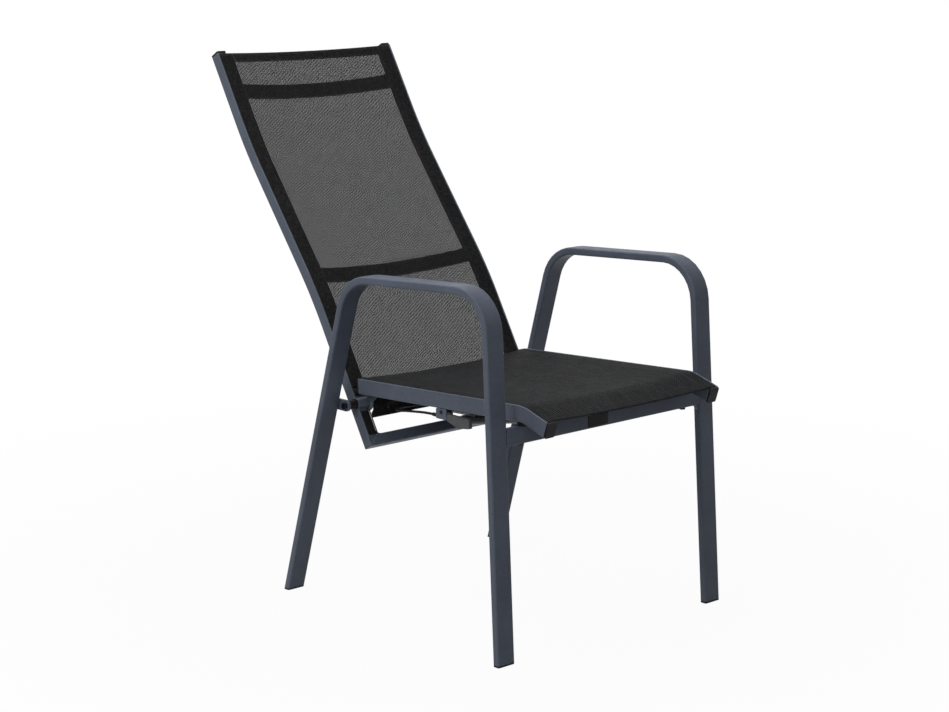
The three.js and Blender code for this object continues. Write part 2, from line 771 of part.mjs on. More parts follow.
// How far cloth hangs under its edges: nothing over the rails, most in the middle.
const hang = (tube, x, sag) => sag * Math.max(0, 1 - (x / tube.inner) ** 2);
const clothShares = [-1, -0.905, -0.8, -0.66, -0.5, -0.33, -0.16, 0, 0.16, 0.33, 0.5, 0.66, 0.8, 0.905, 1];
const clothRise = land + gap + clothThick / 2;

function seatRow(distance) {
  const { p, d } = lineAt(seatLine, distance);
  const up = seatUp(d);
  const share = distance / seatLength;
  const extra = 4 * (seatSagMiddle - (seatSagRear + seatSagFront) / 2) * share * (1 - share);
  const sag = seatSagRear * (1 - share) + seatSagFront * share + extra;
  const points = clothShares.map((c) => {
    const x = c * seatTube.clothEdge;
    return inSpace(x, moved(p, up, clothRise - hang(seatTube, x, sag)));
  });
  return { points, n: inSpace(0, up) };
}
const seatRows = fineStops(seatLine, clothSeatRear, seatLength, clothStep).map(seatRow);

// Seat hangers: rings that turn on the hinge tube, each with an arm along its rail.
const hangerOuter = seatTube.inner - gap;
const hangerInner = hangerOuter - hangerThick;
const stretcherCentre = at(-stretcherReach, underRail(-stretcherReach, stretcherDrop));
function seatHanger(sign) {
  const corner = (y, distance) => at(y, underRail(y, distance));
  const armShape = softPolygon(
    [
      corner(-seatRear, hangerTop),
      corner(-hangerReach, hangerTop),
      corner(-hangerReach, hangerBottom),
      corner(-seatRear, hangerBottom),
    ],
    railCorner,
  );
  const neckEnd = moved(stretcherCentre, seatHeading, -hangerReach / 2);
  const neckShape = strap(hinge, hangerNeckRadius, neckEnd, hangerNeckRadius - overlap);
  const parts = [armShape, neckShape, disc(hinge, hangerRadius)];
  const body = joined(...parts.map((shape) => plate(shape, sign * hangerInner, sign * hangerOuter, 26)));
  const [x0, x1] = [sign * (hangerInner - overlap), sign * (hangerOuter + overlap)];
  const ringHole = barAcross(x0, x1, hinge, hingeTubeRadius + play, 28);
  return cut(body, ringHole, barAcross(x0, x1, stretcherCentre, stretcherRadius + gap, 20));
}

// Hinge at each side: bracket on the leg, bolt through it, spacer, and bush in the hinge tube.
const bracketOuter = legInside(hingeHeight + bracketRadius) - gap;
const bracketInner = bracketOuter - bracketThick;
const boreRadius = hingeBoltRadius + play;
function hingeBracket(sign) {
  const low = hingeHeight - bracketRadius;
  const high = hingeHeight + bracketRadius;
  const tail = softPolygon(
    [at(-overlap, low), at(rearFaceAt(low), low), at(rearFaceAt(high), high), at(-overlap, high)],
    overlap,
  );
  const body = joined(...[disc(hinge, bracketRadius), tail].map((shape) =>
    plate(shape, sign * bracketInner, sign * bracketOuter, 20),
  ));
  const [x0, x1] = [sign * (bracketInner - overlap), sign * (bracketOuter + overlap)];
  return cut(body, barAcross(x0, x1, hinge, hingeBoltRadius + gap));
}
function hingeSpacer(sign) {
  const from = backTube.outer + bushFlange + 2 * gap;
  return tubeAcross(sign * from, sign * (bracketInner - gap), hinge, spacerRadius, boreRadius);
}
function hingeBush(sign) {
  const inside = hingeTubeRadius - hingeTubeWall - gap;
  const pairs = [
    [boreRadius, -bushLength],
    [inside, -bushLength],
    [inside, gap],
    [bushFlangeRadius, gap],
    [bushFlangeRadius, gap + bushFlange],
    [boreRadius, gap + bushFlange],
  ];
  return turned(inSpace(sign * backTube.outer, hinge), new THREE.Vector3(sign, 0, 0), pairs);
}
function hingeBolt(sign) {
  const headStart = bracketOuter + gap;
  const tip = backTube.outer - bushLength + overlap;
  return joined(
    barAcross(sign * headStart, sign * (headStart + hingeBoltHead), hinge, hingeBoltHeadRadius, 6),
    barAcross(sign * tip, sign * (headStart + overlap), hinge, hingeBoltRadius),
  );
}

// Back rails: their front line runs up from the lower corner.
const backHeading = leaning(backTilt);
const backFront = leftOf(backHeading); // towards the sitter
const barPlace = (up, ahead) => moved(moved(backCorner, backHeading, up), backFront, ahead);
const backCorner = moved(moved(hinge, backFront, backAhead), backHeading, -backBelow);
const backKnee = moved(backCorner, backHeading, backLowLength);
const backShoulder = moved(backKnee, leaning(backMidTilt), backMidLength);
const backTop = moved(backShoulder, leaning(backTopTilt), backTopLength);
const backLine = bentLine([backCorner, backKnee, backShoulder, backTop], [backBendRadius, backBendRadius], 5);
const backLength = distancesOf(backLine).at(-1);

// The lower ends are mitred with the bottom bar.
function backRail(sign) {
  const stations = backLine.map(({ p, d }) => railStation(backTube, sign, p, leftOf(d)));
  stations[0].u.add(inSpace(0, backHeading));
  const [x0, x1] = [sign * (backTube.inner - overlap), sign * (backTube.outer + overlap)];
  return cut(sweep(stations, railRings(backTube)), barAcross(x0, x1, hinge, hingeTubeRadius + gap, 28));
}

function backBottomBar() {
  const ringAt = (ring, sign) =>
    ring.map((q) => {
      const up = q.x + backRailWidth / 2;
      return inSpace(sign * (backTube.outer - gap * Math.SQRT2 - up), barPlace(up, q.y - backRailDepth / 2));
    });
  const rings = hollowSection(backRailWidth, backRailDepth, railCorner, railWall);
  const tube = loft([-1, 1].map((sign) => rings.map((ring) => ringAt(ring, sign))));
  const fillet = (sign) =>
    cornerFillet(barFillet, [-railCorner, railCorner - backRailDepth], (ahead, inwards, up) =>
      inSpace(sign * (backTube.inner - gap - inwards), barPlace(backRailWidth - overlap + up, ahead)),
    );
  return joined(tube, fillet(-1), fillet(1));
}

// A spreader bows away from the sitter between the rails.
function spreader(distance) {
  const { p, d } = lineAt(backLine, distance);
  const up = leftOf(d);
  const reach = backTube.inner - gap;
  const stations = spaced(-reach, reach, 10).map((x) => {
    const bow = spreaderBow * (1 - (x / reach) ** 2);
    return { o: inSpace(x, moved(p, up, -spreaderSink - bow)), u: inSpace(0, up), v: inSpace(0, d) };
  });
  return sweep(stations, hollowSection(spreaderDepth, spreaderHeight, spreaderCorner, flatTubeWall));
}

function backRow(distance) {
  const { p, d } = lineAt(backLine, distance);
  const up = leftOf(d);
  const rise = (from, to) => THREE.MathUtils.smoothstep(distance, from, to);
  const width = flapHalfWidth + (backTube.clothEdge - flapHalfWidth) * rise(flapTop - flapTaper, flapTop);
  const lift = flapLift * (1 - rise(flapLiftEnd, flapTop));
  const sag = backSag * rise(flapLiftEnd, flapTop + backBelow);
  const points = clothShares.map((c) => {
    const x = c * width;
    return inSpace(x, moved(p, up, clothRise + lift - hang(backTube, x, sag)));
  });
  return { points, n: inSpace(0, up) };
}
const backRows = [
  ...spaced(flapEnd, flapLiftEnd, 4),
  ...spaced(flapLiftEnd, flapTop, 6).slice(1),
  ...fineStops(backLine, flapTop, backLength - slingTopInset, clothStep).slice(1),
].map(backRow);

for (const { name, sign } of sides) {
  const [rear, front, top] = [seatLine[0], seatLine.at(-1), backLine.at(-1)];
  put(`seat_rail_cap_front_${name}`, railCap(seatTube, sign, front.p, seatUp(front.d), front.d), blackPlastic);
  const rearCap = railCap(seatTube, sign, rear.p, seatUp(rear.d), rear.d.clone().negate());
  put(`seat_rail_cap_rear_${name}`, rearCap, blackPlastic);
  put(`seat_bolt_${name}`, seatBolt(sign), blackSteel);
  put(`seat_spacer_${name}`, seatSpacer(sign), blackPlastic);
  put(`seat_hanger_${name}`, seatHanger(sign), powderCoat);
  put(`seat_welt_${name}`, welt(seatTube, sign, seatLine, seatUp, overlap, seatLength - overlap), seatCloth);
  put(`hinge_bracket_${name}`, hingeBracket(sign), powderCoat);
  put(`hinge_spacer_${name}`, hingeSpacer(sign), blackPlastic);
  put(`hinge_bush_${name}`, hingeBush(sign), blackPlastic);
  put(`hinge_bolt_${name}`, hingeBolt(sign), blackSteel);
  put(`back_rail_${name}`, backRail(sign), powderCoat);
  put(`back_rail_cap_${name}`, railCap(backTube, sign, top.p, leftOf(top.d), top.d), blackPlastic);
  const backWelt = welt(backTube, sign, backLine, leftOf, backWeltStart, backLength - overlap);
  put(`back_welt_${name}`, backWelt, backCloth);
}
put("seat_rail_left", seatRail(1), powderCoat);
put("front_crossbar", frontCrossbar(), powderCoat);
put("seat_stretcher", barAcross(-hangerOuter, hangerOuter, stretcherCentre, stretcherRadius, 20), powderCoat);
put("seat_sling", cloth(seatRows), seatCloth);
const hingeTubeBore = hingeTubeRadius - hingeTubeWall;
const hingeTube = tubeAcross(-backTube.outer, backTube.outer, hinge, hingeTubeRadius, hingeTubeBore, 28);
put("back_hinge_tube", hingeTube, powderCoat);
put("back_bottom_bar", backBottomBar(), powderCoat);
put("back_spreader_lumbar", spreader(lumbarPlace), powderCoat);
put("back_spreader_upper", spreader(shoulderPlace), powderCoat);
put("back_sling", cloth(backRows), backCloth);

// A blank tag hangs from the front edge of the seat sling.
function blankTag() {
  const { p, d } = seatLine.at(-1);
  const lowest = hang(seatTube, tagPlace - tagWidth / 2, seatSagFront);
  const top = moved(p, seatUp(d), clothRise - clothThick / 2 - gap - lowest);
  const geometry = new THREE.BoxGeometry(tagWidth, tagThick, tagHeight);
  geometry.translate(-tagPlace, top.x + tagThick / 2, top.y - tagHeight / 2);
  return geometry;
}
put("blank_tag", blankTag(), blackPlastic);

// Gas spring. Places on it count along its axis from the front pin, and up from the axis.
const springFront = at(springFrontSetback - frontFootReach, springFrontHeight);
const springRear = barPlace(backRailWidth / 2, springRearAhead);
const springReach = springRear.clone().sub(springFront);
const springHeading = springReach.clone().normalize();
const cylinderEnd = springReach.length() - cylinderTail;
const boreEnd = cylinderEnd - boreTail;
const rodEnd = boreEnd - rodSpare;
const onSpring = (along, up) => moved(moved(springFront, springHeading, along), leftOf(springHeading), up);
const springBar = (from, to, radius, up = 0, count = 20) =>
  bar(inSpace(0, onSpring(from, up)), inSpace(0, onSpring(to, up)), radius, count);
const earInner = eyeHalfWidth + earGap;
const earOuter = earInner + earThick;
const pinHole = (p, radius) => barAcross(-earOuter - overlap, earOuter + overlap, p, radius, 20);
const springPin = (p) =>
  headedPin(-earOuter - gap, earOuter + gap, p, springPinRadius, springPinHeadRadius, springPinHead);

function springCylinder() {
  const eye = plate(disc(springRear, eyeRadius), -eyeHalfWidth, eyeHalfWidth, 20);
  const neck = springBar(cylinderEnd - overlap, springReach.length() - springPinRadius, neckRadius);
  const body = joined(springBar(cylinderStart, cylinderEnd, cylinderRadius), neck, eye);
  const bore = springBar(cylinderStart - overlap, boreEnd, rodRadius + play);
  return cut(body, bore, pinHole(springRear, springPinRadius + springPinPlay));
}

function releaseHead() {
  const outline = softPolygon(
    [
      onSpring(-earRadius, -headHalfHeight),
      onSpring(headEnd, -headHalfHeight),
      onSpring(headEnd, headHalfHeight),
      onSpring(-earRadius, headHalfHeight),
    ],
    railCorner,
  );
  const pinSpot = onSpring(armPlace, armPinRise);
  const cheekFoot = onSpring(armPlace, headHalfHeight - railCorner);
  const cheekShape = strap(pinSpot, armFoot + overlap, cheekFoot, armFoot + overlap);
  const cheeks = sides.map(({ sign }) => plate(cheekShape, sign * (armHalfThick + play), sign * headHalfWidth));
  const body = joined(plate(outline, -headHalfWidth, headHalfWidth), ...cheeks);
  const rodHole = springBar(rodStart, headEnd + overlap, rodRadius + gap);
  return cut(body, pinHole(springFront, springPinRadius + play), rodHole, pinHole(pinSpot, armPinRadius + play));
}

function releaseArm() {
  const foot = onSpring(armPlace, armPinRise);
  const blade = plate(strap(foot, armFoot, onSpring(armPlace, armTop - armHalfDepth), armHalfDepth),
    -armHalfThick, armHalfThick);
  const pin = barAcross(-headHalfWidth, headHalfWidth, foot, armPinRadius, 12);
  return cut(joined(blade, pin), springBar(nippleStart, stopStart, wireHole, wireRise, 12));
}

// The front bracket holds the spring's pin and the stop of the release cable.
function springFrontBracket() {
  const base = (down, back) => crossbarAt(flatTubeDepth + gap + back, down);
  const low = crossbarHeight - railCorner;
  const high = railCorner;
  const stopEnd = stopStart + stopThick;
  const ear = softPolygon(
    [
      base(low, 0),
      onSpring(earRadius, -headHalfHeight - overlap),
      onSpring(headEnd, headHalfHeight),
      onSpring(stopEnd + stopThick, wireRise - stopThick),
      onSpring(stopEnd, armTop + overlap),
      onSpring(stopStart - stopThick, armTop + overlap),
      base(high, 0),
    ],
    bracketCorner,
  );
  const web = softPolygon([base(low, 0), base(low, bracketBase), base(high, bracketBase), base(high, 0)], gap);
  const stopLow = armTop - stopHeight;
  const stop = softPolygon(
    [onSpring(stopStart, stopLow), onSpring(stopEnd, stopLow), onSpring(stopEnd, armTop), onSpring(stopStart, armTop)],
    gap,
  );
  const ears = sides.map(({ sign }) => plate(ear, sign * earInner, sign * earOuter));
  const body = joined(...ears, plate(web, -earOuter, earOuter), plate(stop, -earOuter + gap, earOuter - gap));
  const wire = springBar(stopStart - overlap, stopEnd + overlap, wireHole, wireRise, 12);
  return cut(body, pinHole(springFront, springPinRadius + gap), wire);
}

function springRearBracket() {
  const [low, high] = [overlap, backRailWidth - overlap];
  const tip = springRearAhead + earRadius;
  const ear = softPolygon(
    [
      barPlace(low, gap),
      barPlace(low, springRearAhead),
      barPlace(earRadius, tip),
      barPlace(backRailWidth - earRadius, tip),
      barPlace(high, springRearAhead),
      barPlace(high, gap),
    ],
    bracketCorner,
  );
  const webTop = gap + bracketBase;
  const web = softPolygon([barPlace(low, gap), barPlace(low, webTop), barPlace(high, webTop), barPlace(high, gap)], gap);
  const ears = sides.map(({ sign }) => plate(ear, sign * earInner, sign * earOuter));
  return cut(joined(...ears, plate(web, -earOuter, earOuter)), pinHole(springRear, springPinRadius + gap));
}

put("spring_cylinder", springCylinder(), blackSteel);
put("spring_rod", springBar(rodStart + overlap, rodEnd, rodRadius), steel);
put("release_head", releaseHead(), blackPlastic);
put("release_arm", releaseArm(), greyPlastic);
put("spring_front_bracket", springFrontBracket(), powderCoat);
put("spring_rear_bracket", springRearBracket(), powderCoat);
put("spring_front_pin", springPin(springFront), steel);
put("spring_rear_pin", springPin(springRear), steel);

// Hand lever under the right rail, with its housing, return spring and cable.
const leverPlateOuter = seatTube.outer - leverPlateIn;
const leverPlateInner = leverPlateOuter - leverPlateThick;
const housingOuter = seatTube.outer - housingIn;
const housingInner = housingOuter - housingWidth;
const paddleOuter = seatTube.outer - paddleIn;
const paddleInner = paddleOuter - paddleThick;
const pegInner = leverPlateInner - pegLength;
const cableX = seatTube.outer - cableIn;
const coilX = seatTube.outer - coilIn;
const leverPin = at(-leverReach, leverHeight);
const pegSpot = at(-pegReach, pegHeight);
const alongY = (y0, y1, radius) =>
  bar(new THREE.Vector3(-cableX, y0, cableHeight), new THREE.Vector3(-cableX, y1, cableHeight), radius, 12);

function leverHousing() {
  const roof = (y) => underRail(y, seatRailDepth) - gap;
  const box = (y0, y1, low, high) => [at(y0, low(y0)), at(y1, low(y1)), at(y1, high(y1)), at(y0, high(y0))];
  const bottom = () => housingBottom;
  const cheek = softPolygon(box(-housingFront, -housingRear, bottom, roof), housingCorner);
  const web = softPolygon(
    box(-housingRear - cheekThick, -housingRear, () => housingBottom + overlap, (y) => roof(y) - overlap),
    gap,
  );
  const flange = softPolygon(
    box(-housingRear - flangeReach, -housingRear - overlap, (y) => roof(y) - cheekThick, roof),
    gap,
  );
  const [outer, inner] = [-housingOuter, -housingInner];
  const body = joined(
    plate(cheek, outer, outer + cheekThick),
    plate(cheek, inner - cheekThick, inner),
    plate(web, outer + gap, inner - gap),
    plate(flange, outer + gap, inner - gap),
  );
  const pin = barAcross(outer - overlap, inner + overlap, leverPin, leverPinRadius + gap);
  return cut(body, pin, alongY(-housingRear - cheekThick - overlap, -housingRear + overlap, wireHole));
}

function releaseLever() {
  const paddle = softPolygon(
    [
      at(-paddleRear, paddleTop),
      at(-paddleRear, paddleMid),
      at(-(paddleRear + paddleFront) / 2, paddleLow),
      at(-paddleFront, paddleLow + paddleCorner),
      at(-paddleFront, paddleTop - paddleCorner),
      at(-paddleFront + paddleCorner, paddleTop),
    ],
    bracketCorner,
  );
  const [outer, inner] = [-leverPlateOuter, -leverPlateInner];
  const limb = (end, foot, tip) => plate(strap(leverPin, foot, end, tip), outer, inner, 10);
  const neckEnd = at(-paddleRear - leverHubRadius, (paddleTop + paddleMid) / 2);
  const body = joined(
    limb(neckEnd, leverHubRadius, leverHubRadius - overlap),
    limb(at(-leverReach, cableHeight), leverHubRadius - overlap, leverHubRadius - 2 * overlap),
    limb(pegSpot, leverHubRadius - overlap, pegRadius + overlap),
    barAcross(inner - overlap, -pegInner, pegSpot, pegRadius, 10),
    plate(paddle, -paddleOuter, -paddleInner),
  );
  const reach = leverHubRadius + overlap;
  const pin = barAcross(outer - overlap, inner + overlap, leverPin, leverPinRadius + play);
  return cut(body, pin, alongY(-leverReach - reach, -leverReach + reach, wireHole));
}

// The return spring hooks over the lever's peg and into a hole in the rail.
const coilHeight = (y) => underRail(y, seatRailDepth + coilDrop);
const anchorSpot = (rise) => new THREE.Vector3(-coilX, -anchorReach, coilHeight(-anchorReach) + rise);
function returnSpring() {
  const place = (y, z, x = -coilX) => new THREE.Vector3(x, y, z);
  const hookTop = pegHeight + pegRadius + coilWire + 2 * gap;
  const hookBack = -pegReach + pegRadius + coilWire + overlap;
  const hook = [
    place(hookBack, pegHeight - overlap),
    place(hookBack, hookTop - overlap),
    place(hookBack - overlap, hookTop),
    place(-pegReach - overlap, hookTop),
    place(-coilStart + 2 * coilRadius, coilHeight(-coilStart)),
  ];
  const coil = spaced(0, 1, coilTurns * coilSteps).map((share) => {
    const y = -coilStart - (coilEnd - coilStart) * share;
    const angle = 2 * Math.PI * coilTurns * share;
    return place(y, coilHeight(y) + coilRadius * Math.cos(angle), -coilX + coilRadius * Math.sin(angle));
  });
  const tail = [
    place(-anchorReach + 2 * coilRadius, coilHeight(-coilEnd)),
    place(-anchorReach + overlap, coilHeight(-anchorReach)),
    anchorSpot(overlap),
    anchorSpot(coilDrop + anchorRise),
  ];
  const points = [...hook, ...coil, ...tail];
  return cord(points, points.map(() => coilWire), 5);
}
const anchorHole = bar(anchorSpot(0), anchorSpot(coilDrop + anchorRise + overlap), coilWire + 2 * gap, 12);

// The release cable: a thin wire at the lever, the sheath under the seat, a thin wire at the arm.
function releaseCable() {
  const under = cableRoute.map((p) => new THREE.Vector3(...p));
  const atLever = (y) => new THREE.Vector3(-cableX, y, cableHeight);
  const onWire = (along) => inSpace(0, onSpring(along, wireRise));
  const first = atLever(-housingRear + 2 * gap);
  const last = onWire(stopStart + stopThick + gap);
  const knots = [atLever(-housingRear + ferruleLength + overlap), ...under, onWire(headEnd + ferruleLength)];
  const sheath = [first, ...new THREE.CatmullRomCurve3(knots, false, "centripetal").getPoints(30), last];
  const thinStart = [atLever(-leverReach), first];
  const thinEnd = [last, onWire(nippleEnd)];
  const points = [...thinStart, ...sheath, ...thinEnd, onWire(nippleEnd), onWire(nippleStart)];
  const radii = [wireRadius, wireRadius, ...sheath.map(() => cableRadius), wireRadius, wireRadius];
  return cord(points, [...radii, nippleRadius, nippleRadius], 8);
}

put("seat_rail_right", cut(seatRail(-1), anchorHole), powderCoat);
put("lever_housing", leverHousing(), powderCoat);
const leverPinEnds = [-housingOuter - gap, -housingInner + gap];
put("lever_pin", headedPin(...leverPinEnds, leverPin, leverPinRadius, leverPinHeadRadius, leverPinHead), blackSteel);
put("release_lever", releaseLever(), greyPlastic);
put("lever_return_spring", returnSpring(), steel);
const ferruleStart = new THREE.Vector3(-cableX, -housingRear + gap, cableHeight);
const ferruleEnd = ferruleStart.clone().add(new THREE.Vector3(0, ferruleLength, 0));
put("cable_ferrule", tubeBetween(ferruleStart, ferruleEnd, ferruleRadius, ferruleBore, 16), blackPlastic);
put("release_cable", releaseCable(), blackPlastic);

// Centre the chair front to back over the origin.
const bounds = new THREE.Box3().setFromObject(group);
group.position.y = -(bounds.min.y + bounds.max.y) / 2;
group.updateMatrixWorld(true);

export default group;
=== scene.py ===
import math

import bmesh
import bpy
from mathutils import Matrix, Vector


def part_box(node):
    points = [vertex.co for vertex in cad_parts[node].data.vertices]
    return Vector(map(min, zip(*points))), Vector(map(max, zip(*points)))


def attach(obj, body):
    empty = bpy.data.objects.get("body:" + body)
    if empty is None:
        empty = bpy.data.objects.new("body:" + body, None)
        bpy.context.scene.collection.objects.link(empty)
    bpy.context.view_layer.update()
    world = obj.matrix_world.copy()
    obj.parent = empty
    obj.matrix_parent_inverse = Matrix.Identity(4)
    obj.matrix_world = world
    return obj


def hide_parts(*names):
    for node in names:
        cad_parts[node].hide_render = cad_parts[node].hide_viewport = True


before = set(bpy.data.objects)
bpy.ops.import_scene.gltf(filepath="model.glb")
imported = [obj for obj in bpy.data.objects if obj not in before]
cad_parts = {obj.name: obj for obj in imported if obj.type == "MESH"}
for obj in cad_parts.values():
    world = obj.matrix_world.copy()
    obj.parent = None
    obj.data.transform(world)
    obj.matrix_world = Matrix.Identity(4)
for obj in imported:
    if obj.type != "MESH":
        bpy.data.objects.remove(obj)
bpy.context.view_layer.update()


def middle_of(node):
    low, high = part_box(node)
    return (low + high) / 2


# Lengths are in millimetres and turn into metres where a mesh is made. Y counts from the hinge.
# The stage and its lights are in metres. Distances on a sling run along its rails from their start.
MM = 0.001
HAIR = 1e-9
HINGE = middle_of("back_hinge_tube")

# Camera: the photo's place, direction, roll and lens.
CAMERA_PLACE = (-2.74787, HINGE.y - 3.15779, 1.30426)
CAMERA_FORWARD = (0.65447, 0.72978, -0.19772)
CAMERA_ROLL = -0.18
CAMERA_LENS = 80.54
CAMERA_SENSOR = 36

# Rails: outer and inner faces, and the groove for the cloth.
SEAT_RAIL = (225, 201)
BACK_RAIL = (227.2, 205.2)
GROOVE_IN = 5.2
GROOVE_DOWN = 5.4
WELT_RADIUS = 2.4

# Seat: the top line of its rails in the middle plane.
SEAT_HEIGHT = 446.3
SEAT_SLOPE = 2.86
SEAT_REAR = 6
SEAT_STRAIGHT = 456.6
SEAT_BEND_RADIUS = 85
SEAT_BEND_ANGLE = 20.6
SEAT_NOSE = 50
SEAT_RAIL_DEPTH = 30.8
SEAT_SAGS = (6, 9, 4)  # rear, middle and front
SEAT_START = 3

# Back: the front line of its rails.
BACK_TILTS = (30.2, 37.5, 30.5)  # low, middle and top
BACK_LENGTHS = (324, 348, 208)
BACK_BEND_RADIUS = 1000
BACK_AHEAD = 3.6
BACK_BELOW = 88.85
BACK_SAG = 8
BACK_TOP_INSET = 2
BACK_WELT_START = 104
WELT_INSET = 1

# Flap: the free lower end of the back's cloth, which passes in front of the hinge tube.
FLAP_END = 55
FLAP_TOP = 119
FLAP_HALF_WIDTH = 196.2
FLAP_TAPER = 8  # the stretch under its top in which it narrows
FLAP_FOOT = 69  # below this it is a little wider
FLAP_FOOT_TAPER = 4
FLAP_FOOT_HALF_WIDTH = 201
FLAP_HEM = 38
FLAP_LIFT = 8.7  # off the rails' line, to clear the hinge tube
FLAP_LIFT_START = (58, 84)
FLAP_LIFT_END = 101

# Strips of cloth that stay on the rails beside the flap, under and over the hinge tube. Below the flap's
# end the lower strips run on down the rails' front faces as a dark sheet that paints the shade under the
# seat there.
CLOTH_AND_SHADE_STRIPS = ((22, 71.5), (103.5, 118.9))
STRIP_IN = 201.4

# Cloth: a main layer, and hems under it. Levels count from the lip of the rails.
CLOTH_THICK = 0.17
MAIN_LEVEL = 0.1
UNDER_LEVEL = -0.62
HEM_IN = 37
HEM_GAP = 0.4
SEAT_END_HEM = 24
BACK_END_HEM = 20
ROLL_RADIUS = 0.46
ROLL_IN = 7

# Edges of the cloth: how far in from the rail's outer face, and how far down into the groove.
MAIN_EDGE = ((6.4, 0), (4.8, 0.22), (3.8, 0.95), (3.38, 2.0), (3.38, 3.4), (3.7, 4.3))
UNDER_EDGE = ((6.8, 0), (5.4, 0.16), (4.5, 0.85), (4.22, 1.8), (4.22, 3.0))
EDGE_IN = 11
HEM_STEPS = (HEM_IN, 31, 24, 17, EDGE_IN)

# Stitches: their size, and each one's form as shares of its length with the height over the cloth.
STITCH_INSET = 2.6
STITCH_LENGTH = 3.2
STITCH_PITCH = 4.4
STITCH_RADIUS = 0.32
STITCH_FORM = ((-0.5, -0.42), (-0.3, 0.12), (0, 0.24), (0.3, 0.12), (0.5, -0.42))
SEAM_IN = 4
SEAM_OVER_FLAP = 2
FLAP_SEAM_IN = 8

# Weave: ribs of two warp yarns with an open column beside them, crossed by weft yarns.
BACK_PITCHES = (3.6, 1.8)  # of the ribs and of the weft yarns
SEAT_PITCHES = (5.6, 2.8)
BACK_FILLED = (0.755, 0.52)  # shares of both pitches that the yarns fill
SEAT_FILLED = (0.84, 0.93)
RIB_SPREAD = 0.035  # how much the filled share of a rib varies
BACK_PAIR_DARK = 0.0  # how much darker the second yarn of a rib is
SEAT_PAIR_DARK = 0.92
BACK_PATCH = (1, 2)  # ribs and weft yarns that share one brightness
SEAT_PATCH = (1, 5)
WEAVE_START = 1.0  # metres added so that no place in the weave is negative
HEM_SHIFT = BACK_PITCHES[0] / 2

# Longest steps of the meshes, and the sides of the round ones.
SEAT_STEP = 6
BACK_STEP = 7
ACROSS_STEP = 7
FLAP_STEP = 3.2
FLAP_ACROSS_SHARE = 0.034
FLAP_HEM_SHARE = 0.2
FLAP_ROLL_STEP = 5
STRIP_STEP = 6
STRIP_ACROSS_STEP = 5
END_HEM_STEP = 5
END_HEM_ACROSS_STEP = 8
ROLL_STEP = 8
SEAM_STEP = 12
WELT_STEP = 9
ROLL_SIDES = 10
STITCH_SIDES = 6
WELT_SIDES = 14

# Tag under the front edge of the seat.
TAG_WIDTH = 52
TAG_HEIGHT = 21
TAG_THICK = 0.5
TAG_BORDER = 2
TAG_BORDER_EDGE = 0.2
TAG_CURL = 0.9
TAG_WAVES = (1.3, 0.1)  # half waves of the curl across the tag, and where they start
TAG_LEAN = 0.6
TAG_STEPS = (0.05, 0.08)  # shares across and down

# Return spring of the lever.
PEG = (-247, 424)
PEG_RADIUS = 1.1
COIL_X = -211.4
COIL_RADIUS = 2.1
COIL_WIRE = 0.8
COIL_SIDES = 8
COIL_TURNS = 19
COIL_TURN_STEPS = 18
COIL_START = -264
COIL_END = -330
COIL_DROP = 4.4
COIL_TAIL = 7
COIL_ANCHOR = -341
COIL_ANCHOR_RISE = 9
ANCHOR_BEND = (0.7, 0.6)  # run and rise of the bend into the rail
HOOK_GAP = 0.6  # between the hook and the peg
HOOK_TAIL = 0.6
HOOK_BEND = (0.7, 0.8)  # run and drop of the hook's bend
HOOK_LENGTH = 1.5

# Release cable: a sheath with a ribbed stretch, and bare wire at both ends.
CABLE_X = -217
CABLE_HEIGHT = 411.5
CABLE_AT_LEVER = -249
SHEATH_START = -233.4
SHEATH_RADIUS = 2.45
SHEATH_ROUTE = (
    (-217, -219, 411.5),
    (-216, -195, 410),
    (-210, -150, 404),
    (-204, -108, 398),
    (-193, -84, 394.5),
    (-160, -68, 392),
    (-120, -75, 391),
    (-85, -110, 392),
    (-60, -170, 396),
    (-40, -240, 402),
    (-22, -300, 412),
    (-9, -348, 424),
)
SHEATH_STRAIGHT = 45
SHEATH_END = 30.8
SHEATH_STEP = 0.55
SHEATH_SIDES = 14
SHEATH_SPAN_POINTS = 30
SHEATH_RIBS = (110, 190)  # start and end of the ribbed stretch
SHEATH_RIB_PITCH = 2.6
SHEATH_RIB_HEIGHT = 0.5
SHEATH_RIB_FADE = 4
WIRE_RADIUS = 0.6
WIRE_RISE = 29  # over the gas spring's axis
WIRE_SIDES = 16
WIRE_GAP = 0.1
NIPPLE = (6.2, 8.2)
NIPPLE_RADIUS = 1.9

# Solids of the CAD: where their shading stays sharp, and the rounded caps of the rails.
SHARP_ANGLE = 32
MERGE_DISTANCE = 1e-6
ROUND_WIDTH = 2.6
ROUND_SEGMENTS = 3
ROUND_ANGLE = 50

# Stage: the floor, the world's light on the object, and the lights as place, target, size and watts.
WORLD_LEVEL = 0.14
WHITE = (1, 1, 1, 1)
FLOOR_TONE = (0.42, 0.42, 0.42, 1)
FLOOR_RADIUS = 9
FLOOR_SIDES = 96
FLOOR_DROP = 0.0004
FLOOR_NEAR = 0.96
FLOOR_FADE = (0.6, 1.9)
LIGHTS = {
    "overhead": ((-0.6, 0.8, 3.3), (0, 0, 0.4), (2.6, 2.6), 76),
    "key": ((-3.3, -0.5, 2.4), (0, 0, 0.6), (1.8, 1.4), 52),
    "front": ((-1.6, -3.2, 2.2), (0, 0, 0.5), (1.8, 1.4), 12),
    "fill": ((2.2, -2.2, 3.1), (0, 0, 0.5), (2.0, 2.0), 6),
    "back": ((0.6, 3.2, 2.8), (0, 0, 0.6), (2.6, 1.6), 12),
}


# Places

def place(x, p):
    """Metres in the frame, from x and a (y, z) place that counts from the hinge's plane."""
    return Vector((x * MM, HINGE.y + p[0] * MM, p[1] * MM))


def heading(degrees):
    """The direction in the middle plane that leans this far back from straight up."""
    a = math.radians(degrees)
    return Vector((math.sin(a), math.cos(a)))


